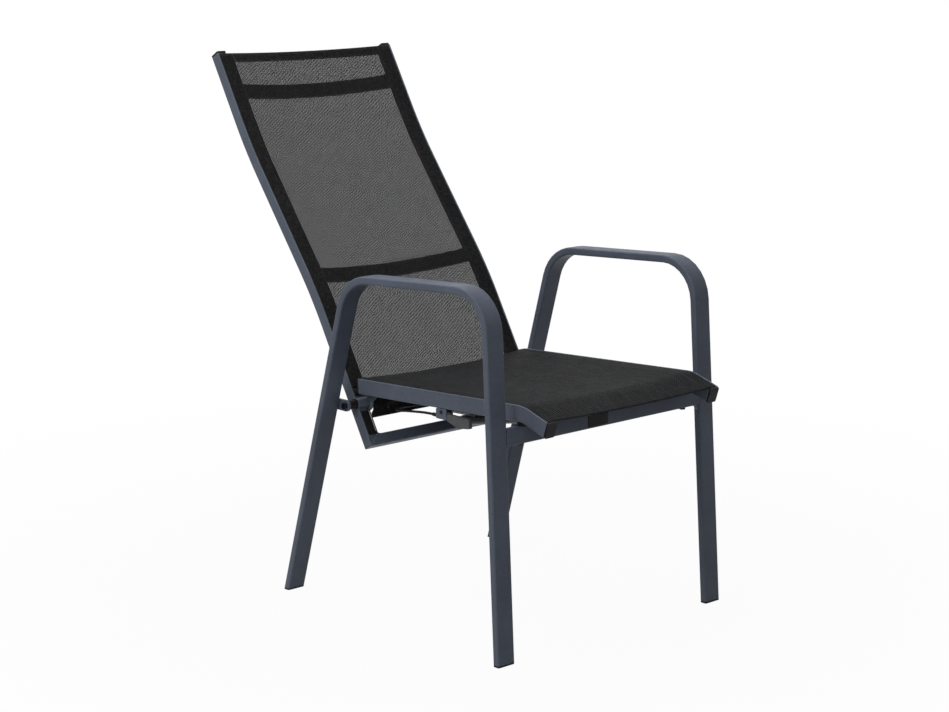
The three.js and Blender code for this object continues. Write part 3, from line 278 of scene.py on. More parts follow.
def left_of(d):
    """The direction a quarter turn to the left of this one."""
    return Vector((-d.y, d.x))


def smooth(value, low, high):
    """0 below low, 1 above high, and a soft way up between them."""
    t = min(1, max(0, (value - low) / (high - low)))
    return t * t * (3 - 2 * t)


def steps(low, high, longest):
    """Even steps from low to high, none longer than the longest."""
    count = max(1, math.ceil((high - low) / longest - HAIR))
    return [low + (high - low) * i / count for i in range(count + 1)]


class Line:
    """A line in the middle plane, made of straight runs and arcs."""

    def __init__(self, start, angle):
        self.parts = []
        self.end = Vector(start)
        self.angle = angle
        self.length = 0

    def add(self, length, radius):
        """Adds an arc, or a straight run where the radius is None."""
        part = (self.length, length, self.end.copy(), self.angle, radius)
        self.parts.append(part)
        self.end, _ = self.inside(part, length)
        self.length += length
        return self

    def run(self, length):
        return self.add(length, None)

    def turn(self, radius, degrees):
        self.add(radius * math.radians(abs(degrees)), math.copysign(radius, degrees))
        self.angle += degrees
        return self

    def inside(self, part, along):
        """Place and direction at a distance from the start of one part."""
        _, _, start, angle, radius = part
        if radius is None:
            return start + heading(angle) * along, heading(angle)
        centre = start - left_of(heading(angle)) * radius
        turned = heading(angle + math.degrees(along / radius))
        return centre + left_of(turned) * radius, turned

    def at(self, distance):
        """Place and direction at a distance from the start."""
        for part in self.parts:
            if distance <= part[0] + part[1] or part is self.parts[-1]:
                return self.inside(part, distance - part[0])


def seat_top(y):
    return SEAT_HEIGHT - y * math.tan(math.radians(SEAT_SLOPE))


def seat_line():
    """The top line of the seat rails, from the rear to the nose."""
    rear = (-SEAT_REAR, seat_top(-SEAT_REAR))
    straight = (SEAT_STRAIGHT - SEAT_REAR) / math.cos(math.radians(SEAT_SLOPE))
    line = Line(rear, SEAT_SLOPE - 90).run(straight)
    return line.turn(SEAT_BEND_RADIUS, -SEAT_BEND_ANGLE).run(SEAT_NOSE)


def back_line():
    """The front line of the back rails, from the lower bar to the top."""
    low, mid, high = BACK_TILTS
    up = heading(low)
    corner = Vector((0, HINGE.z / MM)) + left_of(up) * BACK_AHEAD - up * BACK_BELOW
    half_turns = [math.radians(abs(turn)) / 2 for turn in (mid - low, high - mid)]
    first, second = [BACK_BEND_RADIUS * math.tan(half) for half in half_turns]
    line = Line(corner, low).run(BACK_LENGTHS[0] - first).turn(BACK_BEND_RADIUS, mid - low)
    line.run(BACK_LENGTHS[1] - first - second).turn(BACK_BEND_RADIUS, high - mid)
    return line.run(BACK_LENGTHS[2] - second)


class Sling:
    """How the cloth of one sling lies on its two rails."""

    def __init__(self, line, facing, rail, sag_at, lift_at):
        self.line = line
        self.facing = facing
        self.outer, self.inner = rail
        self.sag_at = sag_at
        self.lift_at = lift_at

    def frame(self, distance):
        """Place on the rails' line and the direction towards the sitter."""
        p, d = self.line.at(distance)
        return p, left_of(d) * self.facing

    def point(self, x, distance, level):
        """Place and normal of the cloth at one spot."""
        p, up = self.frame(distance)
        share = min(1, abs(x) / self.inner)
        sag = self.sag_at(distance)
        dip = sag * (1 - share**2)
        slope = 2 * sag * x / self.inner**2 if share < 1 else 0
        normal = Vector((-slope, up.x, up.y)).normalized()
        return place(x, p + up * (level + self.lift_at(distance) - dip)), normal


def seat_sag(distance):
    share = distance / SEAT_LINE.length
    rear, middle, front = SEAT_SAGS
    extra = 4 * (middle - (rear + front) / 2) * share * (1 - share)
    return rear * (1 - share) + front * share + extra


def back_sag(distance):
    return BACK_SAG * smooth(distance, FLAP_LIFT_END, FLAP_TOP + BACK_BELOW)


def back_lift(distance):
    rise = smooth(distance, *FLAP_LIFT_START)
    return FLAP_LIFT * rise * (1 - smooth(distance, FLAP_LIFT_END, FLAP_TOP))


def nothing(_distance):
    """No sag and no lift."""
    return 0


SEAT_LINE = seat_line()
SEAT = Sling(SEAT_LINE, -1, SEAT_RAIL, seat_sag, nothing)
BACK = Sling(back_line(), 1, BACK_RAIL, back_sag, back_lift)
BACK_EDGES = Sling(BACK.line, 1, BACK_RAIL, nothing, nothing)


# Meshes

def new_mesh():
    bm = bmesh.new()
    return bm, bm.loops.layers.uv.new("weave")


def add_object(name, data):
    """A new object in the scene, around a mesh, a light or a camera."""
    obj = bpy.data.objects.new(name, data)
    bpy.context.scene.collection.objects.link(obj)
    return obj


def mesh_object(name, bm, material):
    mesh = bpy.data.meshes.new(name)
    bm.to_mesh(mesh)
    bm.free()
    mesh.materials.append(material)
    return add_object(name, mesh)


def new_piece(name, bm, body, material):
    """Turns a bmesh into a piece that rides on a body."""
    bmesh.ops.recalc_face_normals(bm, faces=bm.faces)
    obj = mesh_object(name, bm, material)
    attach(obj, body)
    return obj


def grid_sheet(bm, uv, rows, thick):
    """Adds a thin closed sheet from rows of (middle point, normal, place in the weave)."""
    half = thick * MM / 2
    top, low = [
        [[bm.verts.new(p + n * half * side) for p, n, _ in row] for row in rows] for side in (1, -1)
    ]
    last_row, last = len(rows) - 1, len(rows[0]) - 1

    def quad(spots):
        face = bm.faces.new([layer[i][j] for layer, i, j in spots])
        for loop, (_, i, j) in zip(face.loops, spots):
            loop[uv].uv = rows[i][j][2]
        face.smooth = True

    for i in range(last_row):
        for j in range(last):
            quad([(top, i, j), (top, i, j + 1), (top, i + 1, j + 1), (top, i + 1, j)])
            quad([(low, i, j), (low, i + 1, j), (low, i + 1, j + 1), (low, i, j + 1)])
    ring = [(i, 0) for i in range(last_row + 1)] + [(last_row, j) for j in range(1, last + 1)]
    ring += [(i, last) for i in range(last_row - 1, -1, -1)] + [(0, j) for j in range(last - 1, 0, -1)]
    for (a, b), (c, d) in zip(ring, ring[1:] + ring[:1]):
        quad([(top, a, b), (top, c, d), (low, c, d), (low, a, b)])


def tube(bm, uv, points, radii, count, paint=0):
    """Adds a closed round tube along points in metres, with a radius in millimetres for each."""
    rings = []
    along = [0]
    side = None
    turns = [2 * math.pi * k / count for k in range(count)]
    for i, p in enumerate(points):
        ahead = (points[min(i + 1, len(points) - 1)] - points[max(i - 1, 0)]).normalized()
        side = side or ahead.orthogonal()
        side = (side - ahead * side.dot(ahead)).normalized()
        other = ahead.cross(side)
        spokes = [side * math.cos(a) + other * math.sin(a) for a in turns]
        rings.append([bm.verts.new(p + spoke * radii[i] * MM) for spoke in spokes])
        along.append(along[-1] + (points[min(i + 1, len(points) - 1)] - p).length)
    for i in range(len(rings) - 1):
        width = 2 * math.pi * radii[i] * MM / count
        for k in range(count):
            m = (k + 1) % count
            face = bm.faces.new([rings[i][k], rings[i][m], rings[i + 1][m], rings[i + 1][k]])
            face.smooth = True
            face.material_index = paint
            for loop, (u, v) in zip(face.loops, ((k, i), (k + 1, i), (k + 1, i + 1), (k, i + 1))):
                loop[uv].uv = (u * width, along[v])
    for ring in (rings[0][::-1], rings[-1]):
        bm.faces.new(ring).material_index = paint


def edge_row(sling, distance, sign, edge, level):
    """Points of the turned-down edge, outwards."""
    p, up = sling.frame(distance)
    row = []
    for i, (inwards, drop) in enumerate(edge):
        before, after = edge[max(i - 1, 0)], edge[min(i + 1, len(edge) - 1)]
        run, fall = before[0] - after[0], after[1] - before[1]
        size = math.hypot(run, fall)
        normal = Vector((sign * fall, up.x * run, up.y * run)) / size
        x = sling.outer - inwards
        spot = p + up * (level + sling.lift_at(distance) - drop)
        row.append((place(sign * x, spot), normal, (sign * (x + drop) * MM, distance * MM)))
    return row


def flat_row(sling, distance, xs, level, shift=0):
    """Points across the cloth at one distance, with their places in the weave."""
    row = []
    for x in xs:
        q, normal = sling.point(x, distance, level)
        row.append((q, normal, ((x + shift) * MM, distance * MM)))
    return row


def hemmed_sling(bm, uv, sling, distances):
    """The part of a sling that is held in both grooves, with its side hems."""
    reach = sling.outer - EDGE_IN
    main, hems = [], {-1: [], 1: []}
    for distance in distances:
        left, right = [edge_row(sling, distance, sign, MAIN_EDGE, MAIN_LEVEL) for sign in (-1, 1)]
        middle = flat_row(sling, distance, steps(-reach, reach, ACROSS_STEP), MAIN_LEVEL)
        main.append(left[::-1] + middle + right)
        for sign, hem in hems.items():
            xs = [sign * (sling.outer - x) for x in HEM_STEPS]
            row = flat_row(sling, distance, xs, UNDER_LEVEL, HEM_SHIFT)
            row += edge_row(sling, distance, sign, UNDER_EDGE, UNDER_LEVEL)
            hem.append(row[::sign])
    for rows in (main, *hems.values()):
        grid_sheet(bm, uv, rows, CLOTH_THICK)


def end_hem(bm, uv, sling, start, end, half):
    """A doubled strip across the end of a sling."""
    xs = steps(-half, half, END_HEM_ACROSS_STEP)
    distances = steps(start, end, END_HEM_STEP)
    rows = [flat_row(sling, s, xs, UNDER_LEVEL, HEM_SHIFT) for s in distances]
    grid_sheet(bm, uv, rows, CLOTH_THICK)


def edge_roll(bm, uv, sling, spots):
    """The fold along a hemmed end, through (x, distance) spots."""
    level = (MAIN_LEVEL + UNDER_LEVEL) / 2
    points = [sling.point(x, distance, level)[0] for x, distance in spots]
    tube(bm, uv, points, [ROLL_RADIUS] * len(points), ROLL_SIDES)


def stitch_row(bm, uv, sling, spots):
    """Single stitches along a list of (x, distance) spots."""
    top = MAIN_LEVEL + CLOTH_THICK / 2
    placed = [sling.point(x, s, top) for x, s in spots]
    lengths = [0]
    for (a, _), (b, _) in zip(placed, placed[1:]):
        lengths.append(lengths[-1] + (b - a).length)

    def on(distance):
        """Place and normal at a distance along the seam."""
        i = next((i for i in range(len(placed) - 2) if distance <= lengths[i + 1]), len(placed) - 2)
        share = (distance - lengths[i]) / (lengths[i + 1] - lengths[i])
        return [a.lerp(b, share) for a, b in zip(placed[i], placed[i + 1])]

    count = int(lengths[-1] / (STITCH_PITCH * MM))
    for k in range(count):
        middle = (k + 0.5) * lengths[-1] / count
        line = []
        for share, rise in STITCH_FORM:
            p, normal = on(middle + STITCH_LENGTH * MM * share)
            line.append(p + normal * rise * MM)
        tube(bm, uv, line, [STITCH_RADIUS] * len(line), STITCH_SIDES)


def welts(bm, uv, sling, start, end):
    """The cords in both grooves that hold the cloth."""
    for sign in (-1, 1):
        points = []
        for s in steps(start, end, WELT_STEP):
            p, up = sling.frame(s)
            points.append(place(sign * (sling.outer - GROOVE_IN), p - up * GROOVE_DOWN))
        tube(bm, uv, points, [WELT_RADIUS] * len(points), WELT_SIDES)


def curve_through(knots, per_span):
    """Smooth points through knots that may be unevenly spaced."""
    knots = [2 * knots[0] - knots[1], *knots, 2 * knots[-1] - knots[-2]]
    out = []
    for a, b, c, d in zip(knots, knots[1:], knots[2:], knots[3:]):
        t0 = 0
        t1 = t0 + math.sqrt((b - a).length)
        t2 = t1 + math.sqrt((c - b).length)
        t3 = t2 + math.sqrt((d - c).length)
        for i in range(per_span):
            t = t1 + (t2 - t1) * i / per_span
            ab = a.lerp(b, (t - t0) / (t1 - t0))
            bc = b.lerp(c, (t - t1) / (t2 - t1))
            cd = c.lerp(d, (t - t2) / (t3 - t2))
            abc = ab.lerp(bc, (t - t0) / (t2 - t0))
            bcd = bc.lerp(cd, (t - t1) / (t3 - t1))
            out.append(abc.lerp(bcd, (t - t1) / (t2 - t1)))
    return [*out, knots[-2]]


# Materials

MIX_SOCKETS = (0, 6, 7)  # share, first and second colour
MIX_RESULT = 2
BEVEL_SAMPLES = 4


class Net:
    """Short ways to add nodes to a material or to the world."""

    def __init__(self, owner):
        owner.use_nodes = True
        self.owner = owner
        self.nodes = owner.node_tree.nodes
        self.links = owner.node_tree.links

    def link(self, value, socket):
        if isinstance(value, bpy.types.NodeSocket):
            self.links.new(value, socket)
        else:
            socket.default_value = value

    def add(self, kind, *values, **settings):
        """Adds a node and fills its first sockets. Returns its first output."""
        node = self.nodes.new(kind)
        for name, value in settings.items():
            setattr(node, name, value)
        for socket, value in zip(node.inputs, values):
            self.link(value, socket)
        return node.outputs[0]

    def math(self, operation, *values):
        return self.add("ShaderNodeMath", *values, operation=operation)

    def spread(self, value, low, high, to_low=0.0, to_high=1.0):
        return self.add("ShaderNodeMapRange", value, low, high, to_low, to_high)

    def mix(self, share, a, b):
        node = self.nodes.new("ShaderNodeMix")
        node.data_type = "RGBA"
        for number, value in zip(MIX_SOCKETS, (share, a, b)):
            self.link(value, node.inputs[number])
        return node.outputs[MIX_RESULT]

    def noise(self, scale, detail=2.0, roughness=0.5, stretch=(1, 1, 1)):
        coords = self.nodes.new("ShaderNodeTexCoord")
        mapping = self.nodes.new("ShaderNodeMapping")
        mapping.inputs["Scale"].default_value = stretch
        self.links.new(coords.outputs["Object"], mapping.inputs["Vector"])
        node = self.nodes.new("ShaderNodeTexNoise")
        self.links.new(mapping.outputs[0], node.inputs["Vector"])
        node.inputs["Scale"].default_value = scale
        node.inputs["Detail"].default_value = detail
        node.inputs["Roughness"].default_value = roughness
        return node.outputs[0]

    def weave_place(self):
        """Across and along the cloth, in metres."""
        uv = self.add("ShaderNodeUVMap", uv_map="weave")
        parts = self.nodes.new("ShaderNodeSeparateXYZ")
        self.links.new(uv, parts.inputs[0])
        return parts.outputs[0], parts.outputs[1]

    def bump(self, height, distance, strength, normal=None):
        node = self.nodes.new("ShaderNodeBump")
        node.inputs["Strength"].default_value = strength
        node.inputs["Distance"].default_value = distance
        self.links.new(height, node.inputs["Height"])
        if normal:
            self.links.new(normal, node.inputs["Normal"])
        return node.outputs[0]

    def rounded(self, radius):
        """Normals that turn softly over the edges of a solid."""
        return self.add("ShaderNodeBevel", radius, samples=BEVEL_SAMPLES)

    def edges(self, soft, low, high):
        """1 along the edges of a solid and 0 on its faces, from its softly turning normals."""
        geometry = self.nodes.new("ShaderNodeNewGeometry")
        dot = self.nodes.new("ShaderNodeVectorMath")
        dot.operation = "DOT_PRODUCT"
        self.links.new(soft, dot.inputs[0])
        self.links.new(geometry.outputs["Normal"], dot.inputs[1])
        return self.spread(self.math("SUBTRACT", 1.0, dot.outputs["Value"]), low, high)

    def set(self, **values):
        """Fills the main shader's sockets. Returns the material."""
        shader = self.nodes["Principled BSDF"]
        for name, value in values.items():
            self.link(value, shader.inputs[name.replace("_", " ")])
        return self.owner


def new_net(name):
    return Net(bpy.data.materials.new(name))


def colour(code):
    """Linear colour of a hex code."""
    parts = [int(code[i : i + 2], 16) / 255 for i in (0, 2, 4)]
    return (*[c / 12.92 if c <= 0.04045 else ((c + 0.055) / 1.055) ** 2.4 for c in parts], 1)


# Specular levels. They are low because glossy rays see the white background at full strength.
COAT_GLOSS = 0.16
PLASTIC_GLOSS = 0.12
CLOTH_GLOSS = 0.03
LABEL_GLOSS = 0.1
FLOOR_GLOSS = 0.1

# Roughness, from the smoothest to the roughest spots.
COAT_ROUGH = (0.42, 0.54)
CLOTH_ROUGH = (0.6, 0.74)
THREAD_ROUGH = (0.6, 0.8)
LABEL_ROUGH = (0.42, 0.6)
FLOOR_ROUGH = 0.8

# How far edges look rounded, in metres.
COAT_EDGE = 0.0013
PLASTIC_EDGE = 0.0008
METAL_EDGE = 0.0004

# Noise: its scale, its detail and, where it isn't 0.5, its roughness.
COAT_BLOTCHES = (9, 3)
COAT_FLECKS = (900, 2)
COAT_RUBBING = (160, 4)
COAT_SHEEN = (45, 3)
COAT_PEEL = (420, 2)
COAT_GRAIN = (2600, 2, 0.6)
PLASTIC_BLOTCHES = (60, 3)
PLASTIC_SCUFFS = (240, 5, 0.7)
PLASTIC_RUBBING = (200, 3)
PLASTIC_SHEEN = (90, 3)
PLASTIC_GRAIN = (1900, 3, 0.6)
METAL_LINES = (1500, 3, 0.6)
METAL_STAINS = (120, 4, 0.6)
YARN_FIBRES = (700, 2, 0.6)
CLOTH_DRIFT = (30, 1)
CLOTH_WEAR_AND_HIGHLIGHT = (14, 3)
THREAD_TWIST = (2500, 2, 0.5)
LABEL_WEAR = (400, 3)
SCUFF_STRETCH = (1, 1, 0.2)
TWIST_STRETCH = (1, 1, 0.3)

# Bumps: their height in metres and their strength.
PEEL_BUMP = (0.00025, 0.16)
COAT_BUMP = (0.00012, 0.3)
PLASTIC_BUMP = (0.0001, 0.35)
METAL_BUMP = (0.00006, 0.25)
CLOTH_BUMP = (0.00045, 0.5)
THREAD_BUMP = (0.0001, 0.5)
LABEL_BUMP = (0.00015, 0.5)

# Yarns: how far they wander in metres, their levels and wave as shares, the share of painted glints, and
# the painted shade in the gaps between them.
YARN_WANDER = 0.0004
WARP_LEVEL = 0.64
WEFT_LEVEL = 0.5
YARN_WAVE = 0.36
GLINT_SHARE = 0.32
PAINTED_GAP_SHADE = "030303"
LABEL_COLUMNS = 1400.0  # yarns in a metre
LABEL_ROWS = 2200.0


def powder_coat(name, main, dark, worn):
    """Fine satin coat with a slight orange peel, paler where edges rub."""
    net = new_net(name)
    soft = net.rounded(COAT_EDGE)
    blotches = net.spread(net.noise(*COAT_BLOTCHES), 0.35, 0.65)
    flecks = net.spread(net.noise(*COAT_FLECKS), 0.6, 0.75, 0, 0.4)
    rubbed = net.spread(net.noise(*COAT_RUBBING), 0.25, 0.6, 0.3, 1.0)
    rub = net.math("MULTIPLY", net.edges(soft, 0.01, 0.12), rubbed)
    tone = net.mix(blotches, colour(dark), colour(main))
    tone = net.mix(flecks, tone, colour(worn))
    tone = net.mix(net.math("MULTIPLY", rub, 0.85), tone, colour(worn))
    rough = net.spread(net.noise(*COAT_SHEEN), 0.3, 0.7, *COAT_ROUGH)
    rough = net.math("SUBTRACT", rough, net.math("MULTIPLY", rub, 0.1))
    peel = net.bump(net.noise(*COAT_PEEL), *PEEL_BUMP, soft)
    grain = net.bump(net.noise(*COAT_GRAIN), *COAT_BUMP, peel)
    return net.set(Base_Color=tone, Roughness=rough, Normal=grain, Specular_IOR_Level=COAT_GLOSS)


def plastic(name, main, pale, *rough_range):
    """Moulded plastic with a fine grain and scuffs."""
    net = new_net(name)
    soft = net.rounded(PLASTIC_EDGE)
    blotches = net.spread(net.noise(*PLASTIC_BLOTCHES), 0.35, 0.7, 0, 0.5)
    scuffs = net.spread(net.noise(*PLASTIC_SCUFFS, SCUFF_STRETCH), 0.6, 0.72, 0, 0.4)
    rubbed = net.spread(net.noise(*PLASTIC_RUBBING), 0.35, 0.65, 0, 0.6)
    rub = net.math("MULTIPLY", net.edges(soft, 0.03, 0.3), rubbed)
    tone = net.mix(blotches, colour(main), colour(pale))
    tone = net.mix(net.math("MAXIMUM", scuffs, rub), tone, colour(pale))
    rough = net.spread(net.noise(*PLASTIC_SHEEN), 0.3, 0.7, *rough_range)
    grain = net.bump(net.noise(*PLASTIC_GRAIN), *PLASTIC_BUMP, soft)
    return net.set(Base_Color=tone, Roughness=rough, Normal=grain, Specular_IOR_Level=PLASTIC_GLOSS)


def metal(name, main, tint, rough_low, rough_high, stretch):
    """Drawn or plated steel with fine lines and stains."""
    net = new_net(name)
    soft = net.rounded(METAL_EDGE)
    lines = net.noise(*METAL_LINES, stretch)
    stains = net.spread(net.noise(*METAL_STAINS), 0.45, 0.7)
    tone = net.mix(stains, colour(main), colour(tint))
    rough = net.spread(lines, 0.3, 0.7, rough_low, rough_high)
    grain = net.bump(lines, *METAL_BUMP, soft)
    return net.set(Base_Color=tone, Metallic=1.0, Roughness=rough, Normal=grain)


def weave_count(net, pitches):
    """Places in the weave, counted in ribs across the cloth and in weft yarns along it."""
    drift = net.math("SUBTRACT", net.noise(*CLOTH_DRIFT), 0.5)
    wander = net.math("MULTIPLY", drift, YARN_WANDER)
    counts = []
    for value, pitch in zip(net.weave_place(), pitches):
        wandering = net.math("ADD", net.math("ADD", value, WEAVE_START), wander)
        counts.append(net.math("DIVIDE", wandering, pitch * MM))
    return counts


def patch_luck(net, counts, patch):
    """A random value from 0 to 1 for each patch of yarns."""
    corner = net.nodes.new("ShaderNodeCombineXYZ")
    for number, (count, size) in enumerate(zip(counts, patch)):
        net.links.new(net.math("FLOOR", net.math("DIVIDE", count, size)), corner.inputs[number])
    luck = net.nodes.new("ShaderNodeTexWhiteNoise")
    net.links.new(corner.outputs[0], luck.inputs["Vector"])
    return luck.outputs["Value"]


def round_top(net, share):
    """Height of a round yarn, from 0 at its sides to 1 in its middle."""
    off = net.math("SUBTRACT", net.math("MULTIPLY", share, 2.0), 1.0)
    left = net.math("SUBTRACT", 1.0, net.math("MULTIPLY", off, off))
    return net.math("SQRT", net.math("MAXIMUM", left, 0.0))


def yarn_heights(net, along, in_pair, on_warp, in_weft, on_weft):
    """Heights of the warp and weft yarns, which pass over and under each other."""
    phase = net.math("MULTIPLY", net.math("ADD", along, net.math("FLOOR", in_pair)), math.pi)
    wave = net.math("MULTIPLY", net.math("SINE", phase), YARN_WAVE)
    warp = net.math("MULTIPLY", round_top(net, net.math("FRACT", in_pair)), on_warp)
    weft = net.math("MULTIPLY", round_top(net, in_weft), on_weft)
    warp = net.math("MULTIPLY", warp, net.math("ADD", WARP_LEVEL, wave))
    weft = net.math("MULTIPLY", weft, net.math("SUBTRACT", WEFT_LEVEL, wave))
    return warp, weft


def weave(name, shades, pitches, filled, patch, pair_dark):
    """Coated yarns: pairs of warp yarns side by side, crossed by weft yarns, open between them."""
    # rub is the colour of paler fibres and of the painted highlight on the yarn tops; glint is the colour
    # of the painted glints.
    warp, weft, rub, glint = [colour(shade) for shade in shades]
    rib_filled, weft_filled = filled
    net = new_net(name)
    across, along = weave_count(net, pitches)
    luck = patch_luck(net, (across, along), patch)
    in_rib = net.math("FRACT", across)
    in_weft = net.math("FRACT", along)
    in_pair = net.math("MULTIPLY", in_rib, 2 / rib_filled)
    rib_edge = net.spread(luck, 0, 1, rib_filled - RIB_SPREAD, rib_filled + RIB_SPREAD)
    on_warp = net.math("LESS_THAN", in_rib, rib_edge)
    on_weft = net.math("LESS_THAN", in_weft, weft_filled)
    in_weft = net.math("DIVIDE", in_weft, weft_filled)
    warp_high, weft_high = yarn_heights(net, along, in_pair, on_warp, in_weft, on_weft)
    high = net.math("MAXIMUM", warp_high, weft_high)
    fibres = net.noise(*YARN_FIBRES)
    wear = net.spread(net.noise(*CLOTH_WEAR_AND_HIGHLIGHT), 0.35, 0.7, 0.55, 1.0)
    # Painted highlight: the higher a yarn stands, the more of the rub colour it gets, in patches set by a
    # wear noise.
    worn = net.math("MULTIPLY", wear, net.spread(high, 0.45, 0.95))
    second = net.math("MULTIPLY", net.math("GREATER_THAN", in_pair, 1.0), pair_dark)
    tone = net.mix(net.math("GREATER_THAN", warp_high, weft_high), weft, warp)
    tone = net.mix(net.spread(fibres, 0.45, 0.8, 0, 0.5), tone, rub)
    tone = net.mix(worn, tone, rub)
    # Painted glints: a random share of the glint colour for each patch of yarns.
    tone = net.mix(net.spread(luck, 0.3, 1.0, 0.0, GLINT_SHARE), tone, glint)
    tone = net.mix(second, tone, weft)
    # Painted shade: near black where the yarns dip low, in the gaps between them.
    tone = net.mix(net.spread(high, 0.1, 0.5, 1.0, 0.0), tone, colour(PAINTED_GAP_SHADE))
    return net.set(
        Base_Color=tone,
        Roughness=net.spread(fibres, 0.3, 0.7, *CLOTH_ROUGH),
        Alpha=net.math("MAXIMUM", on_warp, on_weft),
        Normal=net.bump(high, *CLOTH_BUMP),
        Specular_IOR_Level=CLOTH_GLOSS,
    )


def thread(name, main, pale):
    """Twisted sewing thread."""
    net = new_net(name)
    twist = net.noise(*THREAD_TWIST, TWIST_STRETCH)
    tone = net.mix(net.spread(twist, 0.35, 0.7), colour(main), colour(pale))
    rough = net.spread(twist, 0.3, 0.7, *THREAD_ROUGH)
    return net.set(Base_Color=tone, Roughness=rough, Normal=net.bump(twist, *THREAD_BUMP))


def label_cloth(name, main, pale):
    """A satin label with a woven border, left blank."""
    net = new_net(name)
    u, v = net.weave_place()
    columns = net.math("FRACT", net.math("MULTIPLY", u, LABEL_COLUMNS))
    rows = net.math("FRACT", net.math("MULTIPLY", v, LABEL_ROWS))
    high = net.math("ADD", net.math("MULTIPLY", rows, 0.6), net.math("MULTIPLY", columns, 0.4))
    border = []
    for spot, size in ((u, TAG_WIDTH), (v, TAG_HEIGHT)):
        off = net.math("ABSOLUTE", net.math("SUBTRACT", spot, size * MM / 2))
        inside = size / 2 - TAG_BORDER
        near, far = [(inside + sign * TAG_BORDER_EDGE) * MM for sign in (-1, 1)]
        border.append(net.spread(off, near, far, 0, 0.5))
    wear = net.spread(net.noise(*LABEL_WEAR), 0.4, 0.7, 0, 0.4)
    tone = net.mix(net.math("MAXIMUM", *border), colour(main), colour(pale))
    tone = net.mix(wear, tone, colour(pale))
    rough = net.spread(high, 0, 1, *LABEL_ROUGH)
    fine = net.bump(high, *LABEL_BUMP)
    return net.set(Base_Color=tone, Roughness=rough, Normal=fine, Specular_IOR_Level=LABEL_GLOSS)


COAT = powder_coat("coat_grey", "555c69", "4c525f", "9ba2af")
BLACK = plastic("plastic_black", "0f0f0f", "262626", 0.45, 0.62)
GREY = plastic("plastic_grey", "4b4c4d", "626364", 0.4, 0.55)
SHEATH = plastic("sheath_black", "101010", "242424", 0.4, 0.55)
STEEL = metal("steel_bright", "c4c5c6", "96979a", 0.22, 0.42, (1, 1, 0.15))
DARK_STEEL = metal("steel_black", "2b2c2e", "1d1e1f", 0.3, 0.45, (1, 0.1, 1))
BACK_SHADES = ("1a1a1b", "101010", "323233", "464647")  # warp, weft, paler fibres with the painted highlight on the yarn tops, and painted glints
SEAT_SHADES = ("202122", "0a0a0a", "4b4c4e", "515254")
MESH_BACK = weave("mesh_back", BACK_SHADES, BACK_PITCHES, BACK_FILLED, BACK_PATCH, BACK_PAIR_DARK)
MESH_SEAT = weave("mesh_seat", SEAT_SHADES, SEAT_PITCHES, SEAT_FILLED, SEAT_PATCH, SEAT_PAIR_DARK)
THREAD = thread("thread_black", "121213", "262728")
LABEL = label_cloth("label_cloth", "070707", "1b1b1c")

# Names that the CAD nodes of each material start with. All others have the coat.
BLACK_PARTS = ("foot_cap", "seat_rail_cap", "back_rail_cap", "seat_spacer", "hinge_spacer", "hinge_bush")
BLACK_PARTS += ("release_head", "cable_ferrule")
GREY_PARTS = ("release_lever", "release_arm")
STEEL_PARTS = ("spring_rod", "spring_front_pin", "spring_rear_pin")
DARK_PARTS = ("spring_cylinder", "seat_bolt", "hinge_bolt", "lever_pin")
ROUND_PARTS = ("seat_rail_cap", "back_rail_cap")


def smooth_shading():
    """A node group that joins a solid's faces and shades it smooth between its sharp edges."""
    tree = bpy.data.node_groups.new("smooth_shading", "GeometryNodeTree")
    for way in ("INPUT", "OUTPUT"):
        tree.interface.new_socket("Geometry", in_out=way, socket_type="NodeSocketGeometry")
    nodes, links = tree.nodes, tree.links
    joined = nodes.new("GeometryNodeMergeByDistance")
    joined.inputs["Distance"].default_value = MERGE_DISTANCE
    plain = nodes.new("GeometryNodeRemoveAttribute")
    plain.inputs["Name"].default_value = "custom_normal"
    faces = nodes.new("GeometryNodeSetShadeSmooth")
    edges = nodes.new("GeometryNodeSetShadeSmooth")
    edges.domain = "EDGE"
    edges.inputs["Shade Smooth"].default_value = False
    angle = nodes.new("GeometryNodeInputMeshEdgeAngle")
    sharp = nodes.new("FunctionNodeCompare")
    sharp.operation = "GREATER_THAN"
    sharp.inputs["B"].default_value = math.radians(SHARP_ANGLE)
    links.new(angle.outputs["Unsigned Angle"], sharp.inputs["A"])
    links.new(sharp.outputs[0], edges.inputs["Selection"])
    chain = [nodes.new("NodeGroupInput"), joined, plain, faces, edges, nodes.new("NodeGroupOutput")]
    for a, b in zip(chain, chain[1:]):
        links.new(a.outputs[0], b.inputs[0])
    return tree


def dress_nodes():
    """Materials and smooth shading for the CAD nodes."""
    shading = smooth_shading()
    kinds = ((BLACK_PARTS, BLACK), (GREY_PARTS, GREY), (STEEL_PARTS, STEEL), (DARK_PARTS, DARK_STEEL))
    for name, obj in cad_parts.items():
        material = next((m for parts, m in kinds if name.startswith(parts)), COAT)
        for slot in obj.material_slots:
            slot.material = material
        obj.modifiers.new("shading", "NODES").node_group = shading
        if name.startswith(ROUND_PARTS):
            rounding = obj.modifiers.new("rounding", "BEVEL")
            rounding.width = ROUND_WIDTH * MM
            rounding.segments = ROUND_SEGMENTS
            rounding.angle_limit = math.radians(ROUND_ANGLE)
        weighted = obj.modifiers.new("normals", "WEIGHTED_NORMAL")
        weighted.keep_sharp = True


# Slings

def seam_piece(name, sling, rows, body):
    """All stitches of one sling, as a piece of their own."""
    bm, uv = new_mesh()
    for row in rows:
        stitch_row(bm, uv, sling, row)
    return new_piece(name, bm, body, THREAD)


def side_seams(side, start, end):
    return [[(x, s) for s in steps(start, end, SEAM_STEP)] for x in (-side, side)]


def end_seam(half, distance):
    return [(x, distance) for x in steps(-half, half, SEAM_STEP)]


def roll_spots(sling, distance):
    reach = sling.outer - ROLL_IN
    return [(x, distance) for x in steps(-reach, reach, ROLL_STEP)]


